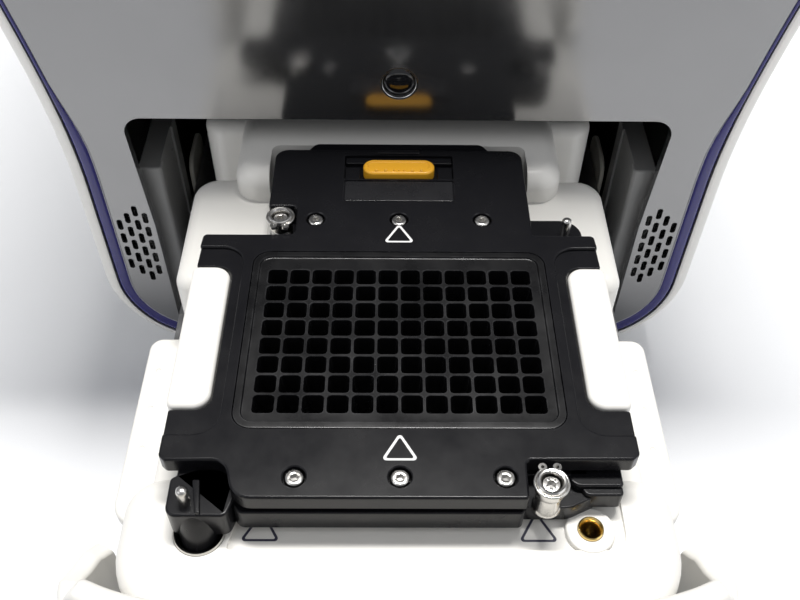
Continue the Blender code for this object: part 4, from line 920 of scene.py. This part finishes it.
def make_cover():
    under = BLOCK_TOP - COVER_THICK + 0.0020
    flange = soft_prism(plan(cover_outline(False), 6), under, BLOCK_TOP - FLANGE_DROP, top=0.0005, segments=3)
    raised = soft_prism(plan(cover_outline(True), 6), under + 0.0005, BLOCK_TOP, top=0.0009, segments=4)
    window = rectangle(BLOCK_HALF_X + GAP, BLOCK_SHIFT_Y - BLOCK_HALF_Y - GAP, BLOCK_SHIFT_Y + BLOCK_HALF_Y + GAP, 0.0073)
    window = [(x, BLOCK_Y + y) for x, y in window]
    recess = plan([(-0.0248, 0.0913, 0.0008), (0.0248, 0.0913, 0.0008), (0.0248, 0.1078, 0.0008), (-0.0248, 0.1078, 0.0008)], 4)
    label = plan([(-0.0246, 0.0763, 0.0006), (0.0246, 0.0763, 0.0006), (0.0246, 0.0903, 0.0006), (-0.0246, 0.0903, 0.0006)], 4)
    hole = [(0, -0.02), (0.0018, -0.02), (0.0018, -0.0040), (0.0041, -0.0040), (0.0041, -0.0004), (0.0046, 0.0001)]
    hole += [(0.0046, 0.003), (0, 0.003)]
    cuts = [
        prism(window, BLOCK_TOP - 0.03, BLOCK_TOP + 0.01),
        prism(recess, BLOCK_TOP - 0.0030, BLOCK_TOP + 0.01),
        prism(label, BLOCK_TOP - 0.0006, BLOCK_TOP + 0.01),
        merge(*[turned(hole, at(x, y), steps=32) for x in SCREW_X for y in SCREW_Y]),
    ]
    piece("cover_plate", flange, BLACK, "block_module", "module_cover", joins=[raised], cuts=cuts,
          bevel=0.00022, segments=2, bevel_angle=55)

    shelf = plan([(-0.0244, 0.1032, 0.0006), (0.0244, 0.1032, 0.0006), (0.0244, 0.1074, 0.0006), (-0.0244, 0.1074, 0.0006)], 3)
    piece("latch_shelf", soft_prism(shelf, BLOCK_TOP - 0.0031, BLOCK_TOP - 0.0010, top=0.0004), BLACK, "block_module")
    for side, sign in (("left", -1), ("right", 1)):
        ends = sorted((sign * 0.0244, sign * 0.0176))
        cheek = plan([(ends[0], 0.0917, 0.0006), (ends[1], 0.0917, 0.0006), (ends[1], 0.1008, 0.0006), (ends[0], 0.1008, 0.0006)], 3)
        piece(f"latch_cheek_{side}", soft_prism(cheek, BLOCK_TOP - 0.0031, BLOCK_TOP - 0.0013, top=0.0004), BLACK,
              "block_module")
    tab = plan([(-0.0098, 0.1086, 0.0009), (0.0098, 0.1086, 0.0009), (0.0098, 0.1110, 0.0009), (-0.0098, 0.1110, 0.0009)], 4)
    piece("latch_tab", soft_prism(tab, BLOCK_TOP - 0.0010, BLOCK_TOP + 0.0007, top=0.0005), BLACK, "block_module")
    card = plan([(-0.0240, 0.0769, 0.0005), (0.0240, 0.0769, 0.0005), (0.0240, 0.0897, 0.0005), (-0.0240, 0.0897, 0.0005)], 4)
    piece("blank_label_plate", soft_prism(card, BLOCK_TOP - 0.0008, BLOCK_TOP - 0.0001, top=0.0002, segments=2), LABEL,
          "block_module")


def make_latch():
    corners = [(-LATCH_HALF, LATCH_Y[0]), (LATCH_HALF, LATCH_Y[0]), (LATCH_HALF, LATCH_Y[1]), (-LATCH_HALF, LATCH_Y[1])]
    outline = plan([(x, y, 0.0048) for x, y in corners], 12)
    pill = soft_prism(outline, BLOCK_TOP - 0.0027, BLOCK_TOP + 0.0025, top=0.0012, segments=5)
    hollow = plan([(x * 0.86, y, 0.0026) for x, y in ((-LATCH_HALF, 0.0945), (LATCH_HALF, 0.0945), (LATCH_HALF, 0.1005), (-LATCH_HALF, 0.1005))], 8)
    dish = soft_prism(hollow, BLOCK_TOP + 0.0021, BLOCK_TOP + 0.01, bottom=0.0004, segments=3)
    heel = plan([(-0.03, 0.0988, 0), (0.03, 0.0988, 0), (0.03, 0.11, 0), (-0.03, 0.11, 0)], 1)
    heel = prism(heel, BLOCK_TOP - 0.01, BLOCK_TOP - 0.0006)
    piece("latch_pill", pill, ORANGE, "latch", "release_latch", cuts=[dish, heel], bevel=0.00025, segments=2,
          bevel_angle=40)
    bumps = []
    for x, radius in ((-0.0102, 0.00085), (-0.0060, 0.00085), (-0.0022, 0.0005), (0.0, 0.0005), (0.0022, 0.0005), (0.0060, 0.00085), (0.0102, 0.00085)):
        top = [(0, -0.0018), (radius, -0.0018), (radius, -0.0003), (radius * 0.8, 0.0), (radius * 0.4, 0.00022), (0, 0.0003)]
        bumps.append(turned(top, at(x, LATCH_Y[0] + 0.0019, 0.0029), steps=14))
    piece("latch_bumps", merge(*bumps), ORANGE, "latch")


def cell_point(index, count, half, radius):
    """A point of a rounded square, on the ray at its angle from the middle."""
    angle = 2 * math.pi * index / count
    c, s = math.cos(angle), math.sin(angle)
    if radius >= half:
        return half * c, half * s
    reach = half / max(abs(c), abs(s))
    if min(abs(c), abs(s)) * reach > half - radius:
        middle = half - radius
        along = middle * (abs(c) + abs(s))
        reach = along + math.sqrt(max(0.0, along * along - 2 * middle * middle + radius * radius))
    return reach * c, reach * s


def on_frame(x, y, half_x, half_y, shift, radius):
    """Moves a point of the well field's edge onto a rounded rectangle."""
    x = x * half_x / (WELL_COLUMNS * WELL_PITCH / 2)
    y = y * half_y / (WELL_ROWS * WELL_PITCH / 2)
    inner_x = max(-half_x + radius, min(half_x - radius, x))
    inner_y = max(-half_y + radius, min(half_y - radius, y))
    away = Vector((x - inner_x, y - inner_y))
    if abs(away.x) > 1e-9 and abs(away.y) > 1e-9:
        away = away.normalized() * radius
    return inner_x + away.x, inner_y + away.y + shift


def make_wells():
    """The sample block as one skin: rounded tapering wells, the field between them, and the raised rim."""
    bm = bmesh.new()
    count = 32
    rings = [(WELL_PITCH / 2, 0.0, 0.0), (0.00408, 0.0014, 0.0), (0.00398, 0.0013, -0.00006), (0.00390, 0.0013, -0.00020)]
    rings += [(0.00386, 0.0013, -0.0006), (0.00345, 0.0013, -0.0080), (0.00330, 0.0015, -0.0092), (0.0028, 0.0028, -0.0102)]
    rings += [(0.0016, 0.0016, -0.0132), (0.0012, 0.0012, -0.0140), (0.0006, 0.0006, -0.0143)]
    for row in range(WELL_ROWS):
        for column in range(WELL_COLUMNS):
            x = (column - (WELL_COLUMNS - 1) / 2) * WELL_PITCH
            y = (row - (WELL_ROWS - 1) / 2) * WELL_PITCH
            loops = []
            for half, radius, z in rings:
                spots = [cell_point(i, count, half, radius) for i in range(count)]
                loops.append([bm.verts.new((x + u, y + v, z - WELL_DROP)) for u, v in spots])
            for upper, lower in zip(loops, loops[1:]):
                for i in range(count):
                    j = (i + 1) % count
                    bm.faces.new((upper[i], upper[j], lower[j], lower[i]))
            bm.faces.new(loops[-1])
    bmesh.ops.remove_doubles(bm, verts=bm.verts, dist=1e-6)
    edge_loop = [edge for edge in bm.edges if edge.is_boundary]
    starts = {}
    for edge in edge_loop:
        for vert in edge.verts:
            starts[vert] = (vert.co.x, vert.co.y)
    border = [
        (BLOCK_HALF_X - 0.0033, BLOCK_HALF_Y - 0.0033, 0.0042, -WELL_DROP),
        (BLOCK_HALF_X - 0.0030, BLOCK_HALF_Y - 0.0030, 0.0045, -WELL_DROP + 0.0001),
        (BLOCK_HALF_X - 0.0028, BLOCK_HALF_Y - 0.0028, 0.0046, -0.0002),
        (BLOCK_HALF_X - 0.0026, BLOCK_HALF_Y - 0.0026, 0.0048, 0.0),
        (BLOCK_HALF_X - 0.0004, BLOCK_HALF_Y - 0.0004, 0.0066, 0.0),
        (BLOCK_HALF_X - 0.0001, BLOCK_HALF_Y - 0.0001, 0.0069, -0.0001),
        (BLOCK_HALF_X, BLOCK_HALF_Y, 0.0070, -0.0004),
        (BLOCK_HALF_X, BLOCK_HALF_Y, 0.0070, -0.0180),
    ]
    for half_x, half_y, radius, z in border:
        made = bmesh.ops.extrude_edge_only(bm, edges=edge_loop)["geom"]
        fresh = [item for item in made if isinstance(item, bmesh.types.BMVert)]
        origin = {}
        for vert in fresh:
            for edge in vert.link_edges:
                other = edge.other_vert(vert)
                if other in starts:
                    origin[vert] = starts[other]
        for vert, (x, y) in origin.items():
            vert.co = Vector((*on_frame(x, y, half_x, half_y, BLOCK_SHIFT_Y, radius), z))
        starts = origin
        edge_loop = [item for item in made if isinstance(item, bmesh.types.BMEdge)]
        edge_loop = [edge for edge in edge_loop if all(vert in origin for vert in edge.verts)]
    bmesh.ops.contextual_create(bm, geom=edge_loop)
    bmesh.ops.translate(bm, verts=bm.verts, vec=Vector((0, BLOCK_Y, BLOCK_TOP)))
    piece("well_field", bm, ANODISED, "block_module", "sample_block", angle=28)


def make_body():
    low, high = BLOCK_TOP + MODULE_LOW, BLOCK_TOP - COVER_THICK - GAP
    side = [(0.0665, 0.0540, 0.003), (0.0565, 0.0560, 0.002), (0.0565, 0.1170, 0.005)]
    corners = [(0.0430, -0.0708, 0.002), (0.0432, -0.0558, 0.001), (0.0665, -0.0558, 0.001)] + side
    corners += [(-x, y, radius) for x, y, radius in reversed(side)] + [(-0.0575, -0.0660, 0.003), (-0.0575, -0.0708, 0.004)]
    window = rectangle(BLOCK_HALF_X + GAP, BLOCK_SHIFT_Y - BLOCK_HALF_Y - GAP, BLOCK_SHIFT_Y + BLOCK_HALF_Y + GAP, 0.0073)
    window = [(x, BLOCK_Y + y) for x, y in window]
    base = soft_prism(plan(corners), low, high, top=0.0006, bottom=0.0008, segments=3)
    piece("module_body", base, BLACK, "block_module", "module_base",
          cuts=[prism(window, BLOCK_TOP - 0.03, BLOCK_TOP + 0.01)])
    shelf = [(0.0432, -0.0664, 0.0012), (0.0595, -0.0664, 0.010), (0.0695, -0.0616, 0.002), (0.0695, -0.0550, 0.001)]
    shelf.append((0.0432, -0.0550, 0.001))
    shelf_top = soft_prism(plan(shelf), BLOCK_TOP - 0.0215, BLOCK_TOP - 0.0131, top=0.0005, segments=3)
    piece("screw_shelf", shelf_top, BLACK, "block_module")

    ear = [(-0.0796, -0.0733, 0.004), (-0.0587, -0.0733, 0.003), (-0.0560, -0.0650, 0.001), (-0.0560, -0.0510, 0.001)]
    ear += [(-0.0774, -0.0510, 0.001), (-0.0776, -0.0578, 0.001), (-0.0796, -0.0584, 0.002)]
    ear_top = soft_prism(plan(ear, 8), BLOCK_TOP - 0.0200, BLOCK_TOP + EAR_TOP, top=0.0009, bottom=0.0006, segments=4)
    piece("guide_ear", ear_top, BLACK, "block_module")
    rib = plan([(-0.0716, -0.0600, 0.0006), (-0.0690, -0.0728, 0.0006), (-0.0672, -0.0728, 0.0006), (-0.0690, -0.0600, 0.0006)], 3)
    piece("guide_rib", soft_prism(rib, BLOCK_TOP - 0.010, BLOCK_TOP + EAR_TOP + 0.0014, top=0.0005, segments=2), BLACK, "block_module")
    rows = []
    for z, radius, back in ((-0.0400, 0.0056, 0), (-0.0390, 0.0064, 0), (-0.0370, 0.0066, 0), (-0.0215, 0.0068, 0),
                            (-0.0080, 0.0068, 0.0047)):
        rows.append([(u, v, BLOCK_TOP + z) for u, v in circle(GUIDE_POST[0], BLOCK_Y + GUIDE_POST[1] + back, radius, 48)])
    post, grid = sheet(rows, ring=True)
    for row in (grid[0], grid[-1]):
        post.faces.new(row)
    piece("guide_post", post, BLACK, "block_module")

    upper = plan([(0.0597, -0.0600, 0.004), (0.0785, -0.0600, 0.0014), (0.0785, -0.0500, 0.001), (0.0597, -0.0500, 0.001)], 6)
    piece("front_ear_upper", soft_prism(upper, BLOCK_TOP - 0.0190, BLOCK_TOP - 0.0093, top=0.0008, segments=3), BLACK, "block_module")
    lower = plan([(0.0640, -0.0627, 0.0030), (0.0785, -0.0627, 0.0016), (0.0785, -0.0580, 0.001), (0.0640, -0.0580, 0.001)], 6)
    piece("front_ear_lower", soft_prism(lower, BLOCK_TOP - 0.0198, BLOCK_TOP - 0.0111, top=0.0008, bottom=0.0008, segments=3), BLACK, "block_module")
    rear = plan([(0.0570, 0.0566, 0.001), (0.0800, 0.0566, 0.001), (0.0800, 0.0720, 0.009), (0.0570, 0.0720, 0.001)], 8)
    piece("rear_ear", soft_prism(rear, BLOCK_TOP - 0.0190, BLOCK_TOP + EAR_TOP, top=0.0009, segments=4), BLACK, "block_module")
    for number, (x, y) in enumerate(GUIDE_PINS):
        pin = [(0, -0.0120), (0.0021, -0.0120), (0.0021, 0.0002), (0.0019, 0.0010), (0.0014, 0.0015), (0.0007, 0.0017), (0, 0.00175)]
        piece(f"guide_pin_{number + 1}", turned(pin, at(x, y), steps=28), STEEL, "block_module")


def hex_outline(x, y, across, turn=0.0):
    radius = across / math.sqrt(3)
    return [(x + radius * math.cos(turn + math.pi / 3 * k), y + radius * math.sin(turn + math.pi / 3 * k)) for k in range(6)]


def make_screws():
    head = [(0, -0.0088), (0.0015, -0.0088), (0.0015, -0.0039), (0.0034, -0.0039), (0.0035, -0.0036), (0.0035, -0.0016)]
    head += [(0.0033, -0.0009), (0.0029, -0.0005), (0.0024, -0.00035), (0, -0.00035)]
    number = 0
    for y in SCREW_Y:
        for x in SCREW_X:
            number += 1
            socket = prism(hex_outline(x, BLOCK_Y + y, 0.0026, 0.4 + number), BLOCK_TOP - 0.0022, BLOCK_TOP + 0.002)
            piece(f"cover_screw_{number}", turned(head, at(x, y), steps=32), STEEL, "block_module",
                  f"module_screw_{number}", cuts=[socket], bevel=0.00012, segments=2, bevel_angle=50)
    for side, (x, y), facing in (("rear", CAPTIVE_REAR, -1), ("front", CAPTIVE_FRONT, 1)):
        body = f"{side}_screw"
        sleeve = [(0.0036, -0.0030), (0.0036, 0.0033), (0.0040, 0.0039), (0.0046, 0.0040), (0.0051, 0.0037), (0.0053, 0.0031)]
        if side == "rear":
            sleeve += [(0.0053, 0.0012), (0.0051, 0.0007), (0.0049, 0.0000), (0.0049, -0.0030)]
        else:
            sleeve[0] = (0.0036, -0.0130)
            sleeve += [(0.0054, 0.0010), (0.0053, -0.0014), (0.0050, -0.0026), (0.0046, -0.0032), (0.0046, -0.0112)]
            sleeve += [(0.0050, -0.0117), (0.0051, -0.0125), (0.0049, -0.0130)]
        piece(f"{side}_screw_sleeve", turned(sleeve, at(x, y), steps=44, closed=True), STEEL, body,
              f"captive_screw_{side}")
        inner = [(0, -0.0086), (0.0030, -0.0086), (0.0030, -0.0010), (0.0034, -0.0008), (0.0034, 0.0012), (0.0029, 0.0020), (0, 0.0022)]
        socket = prism(hex_outline(x, BLOCK_Y + y, 0.0028, 0.3), BLOCK_TOP - 0.0002, BLOCK_TOP + 0.004)
        piece(f"{side}_screw_head", turned(inner, at(x, y), steps=36), STEEL, body, cuts=[socket], bevel=0.00012, segments=2, bevel_angle=50)
        if side == "rear":
            coil = []
            for k in range(101):
                turn = 2 * math.pi * 5 * k / 100
                coil.append(at(x + 0.0044 * math.cos(turn), y + 0.0044 * math.sin(turn), -0.0088 + 0.0054 * k / 100))
            tube(f"{side}_screw_spring", coil, 0.00042, STEEL, body)
        arc = []
        for k in range(41):
            angle = math.pi / 2 * facing + math.radians(22) + math.radians(316) * k / 40
            arc.append(at(x + 0.0057 * math.cos(angle), y + 0.0057 * math.sin(angle), 0.0026))
        tube(f"{side}_clip", arc, 0.0005, STEEL, body)
        for lobe, lean_x in (("a", -1), ("b", 1)):
            eye = [(0.0006, 0.0019), (0.0015, 0.0019), (0.0015, 0.0032), (0.0006, 0.0032)]
            piece(f"{side}_clip_eye_{lobe}", turned(eye, at(x + 0.0025 * lean_x, y + 0.0059 * facing), steps=20, closed=True),
                  STEEL, body)


def triangle_mark(name, x, y, z, width, height, line, look, body, radius=0.0011):
    """Plain triangle outline printed on a surface, as a thin closed ring."""
    outer = plan([(x - width / 2, y, radius), (x + width / 2, y, radius), (x, y + height, radius)], 6)
    shrink = line * 1.9
    inner_radius = radius * 0.45
    inner = plan([(x - width / 2 + shrink, y + line, inner_radius), (x + width / 2 - shrink, y + line, inner_radius),
                  (x, y + height - line * 2.15, inner_radius)], 6)
    low, high = BLOCK_TOP + z, BLOCK_TOP + z + 0.00006
    rows = [[(u, v, level) for u, v in ring] for ring, level in ((outer, low), (outer, high), (inner, high), (inner, low))]
    bm, _ = sheet(rows, ring=True, closed=True)
    piece(name, bm, look, body)


def make_marks():
    triangle_mark("module_mark_rear", 0.0, 0.0507, 0.0, 0.0132, 0.0113, 0.00085, WHITE_INK, "block_module")
    triangle_mark("module_mark_front", 0.0, -0.0556, 0.0, 0.0132, 0.0113, 0.00085, WHITE_INK, "block_module")
    triangle_mark("deck_mark_left", -0.0489, -0.0739, -0.02355, 0.0142, 0.0121, 0.0008, DARK_INK, "drawer")
    triangle_mark("deck_mark_right", 0.0489, -0.0740, -0.02355, 0.0142, 0.0121, 0.0008, DARK_INK, "drawer")


# ---------------------------------------------------------------- the CAD nodes that stay as they are

def dress(names, look):
    for name in names:
        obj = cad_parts[name]
        if not obj.material_slots:
            obj.data.materials.append(look)
        for slot in obj.material_slots:
            slot.material = look


def dress_nodes():
    dress(["foot_1", "foot_2", "foot_3", "foot_4"], RUBBER)
    dress(["rear_panel"], WHITE)
    dress(["fan_frame", "power_inlet", "power_switch", "heated_cover_frame", "camera_lens", "drive_rack"], BLACK)
    dress(["rail_left", "rail_right", "runner_left", "runner_right", "port_block", "power_supply"], SHEET)
    dress(["cover_lead_screw"], STEEL)
    dress(["chassis", "emission_wheel", "excitation_wheel", "camera_body", "drive_motor"], COATED)
    dress(["heated_cover_plate", "optics_frame", "lamp_module", "heat_sink"], ALUMINIUM)
    dress(["drive_pinion"], BRASS)
    dress(["field_lens"], GLASS)
    dress(["main_board"], BOARD)
    dress(["peltier_stack"], CERAMIC)


# ---------------------------------------------------------------- studio

def make_camera():
    """Camera above the open drawer, looking down at the block."""
    data = bpy.data.cameras.new("camera")
    data.sensor_width = 36.0
    data.lens = 906.71 / 800 * 36.0
    data.clip_start = 0.01
    camera = bpy.data.objects.new("camera", data)
    bpy.context.scene.collection.objects.link(camera)
    yaw, pitch, roll = math.radians(0.883), math.radians(48.392), math.radians(0.911)
    ahead = Vector((math.sin(yaw) * math.cos(pitch), math.cos(yaw) * math.cos(pitch), -math.sin(pitch)))
    right = Vector((math.cos(yaw), -math.sin(yaw), 0))
    up = right.cross(ahead)
    right_2 = math.cos(roll) * right + math.sin(roll) * up
    up_2 = -math.sin(roll) * right + math.cos(roll) * up
    turn = Matrix((right_2, up_2, -ahead)).transposed().to_4x4()
    camera.matrix_world = Matrix.Translation(at(-0.00343, -0.2214, 0.26984)) @ turn
    bpy.context.scene.camera = camera


def make_light(name, place, target, size, power, colour=(1, 1, 1), size_y=None):
    data = bpy.data.lights.new(name, "AREA")
    data.energy = power
    data.color = colour
    data.size = size
    if size_y:
        data.shape = "RECTANGLE"
        data.size_y = size_y
    light = bpy.data.objects.new(name, data)
    bpy.context.scene.collection.objects.link(light)
    light.location = place
    light.rotation_euler = (Vector(target) - Vector(place)).to_track_quat("-Z", "Y").to_euler()
    return light


def make_studio():
    half = 6.0
    rows = [[(-half + 2 * half * i / 24, -half + 2 * half * j / 24, 0) for i in range(25)] for j in range(25)]
    bm, _ = sheet(rows)
    floor = raw(bm)
    floor.name = "bench_top"
    look = surface("bench_surface", (0.90, 0.91, 0.93), 0.5, grain=900, bump=0.08, blotch=0.015, blotch_scale=3)
    floor.data.materials.append(look)

    world = bpy.data.worlds.new("studio")
    world.use_nodes = True
    bpy.context.scene.world = world
    background = world.node_tree.nodes["Background"]
    background.inputs["Color"].default_value = (0.93, 0.95, 1.0, 1)
    background.inputs["Strength"].default_value = 0.33
    target = at(0, 0, 0)
    make_light("ceiling_panel", (0.10, 0.17, 2.4), target, 0.9, 60, (1.0, 0.985, 0.96), 0.20)
    make_light("left_panel", (-1.5, -1.0, 1.5), target, 1.2, 6, (0.97, 0.98, 1.0))
    make_light("right_panel", (1.6, -0.9, 1.4), target, 1.2, 5, (0.97, 0.98, 1.0))
    make_light("rear_panel_light", (0.4, 2.0, 1.8), (0, 0.3, 0.3), 1.4, 16, (1.0, 1.0, 1.0))
    bpy.context.scene.view_settings.view_transform = "Standard"


make_camera()
make_housing()
make_front()
make_rear()
make_tray()
make_deck()
make_drawer_front()
make_cover()
make_latch()
make_wells()
make_body()
make_screws()
make_marks()
dress_nodes()
make_studio()
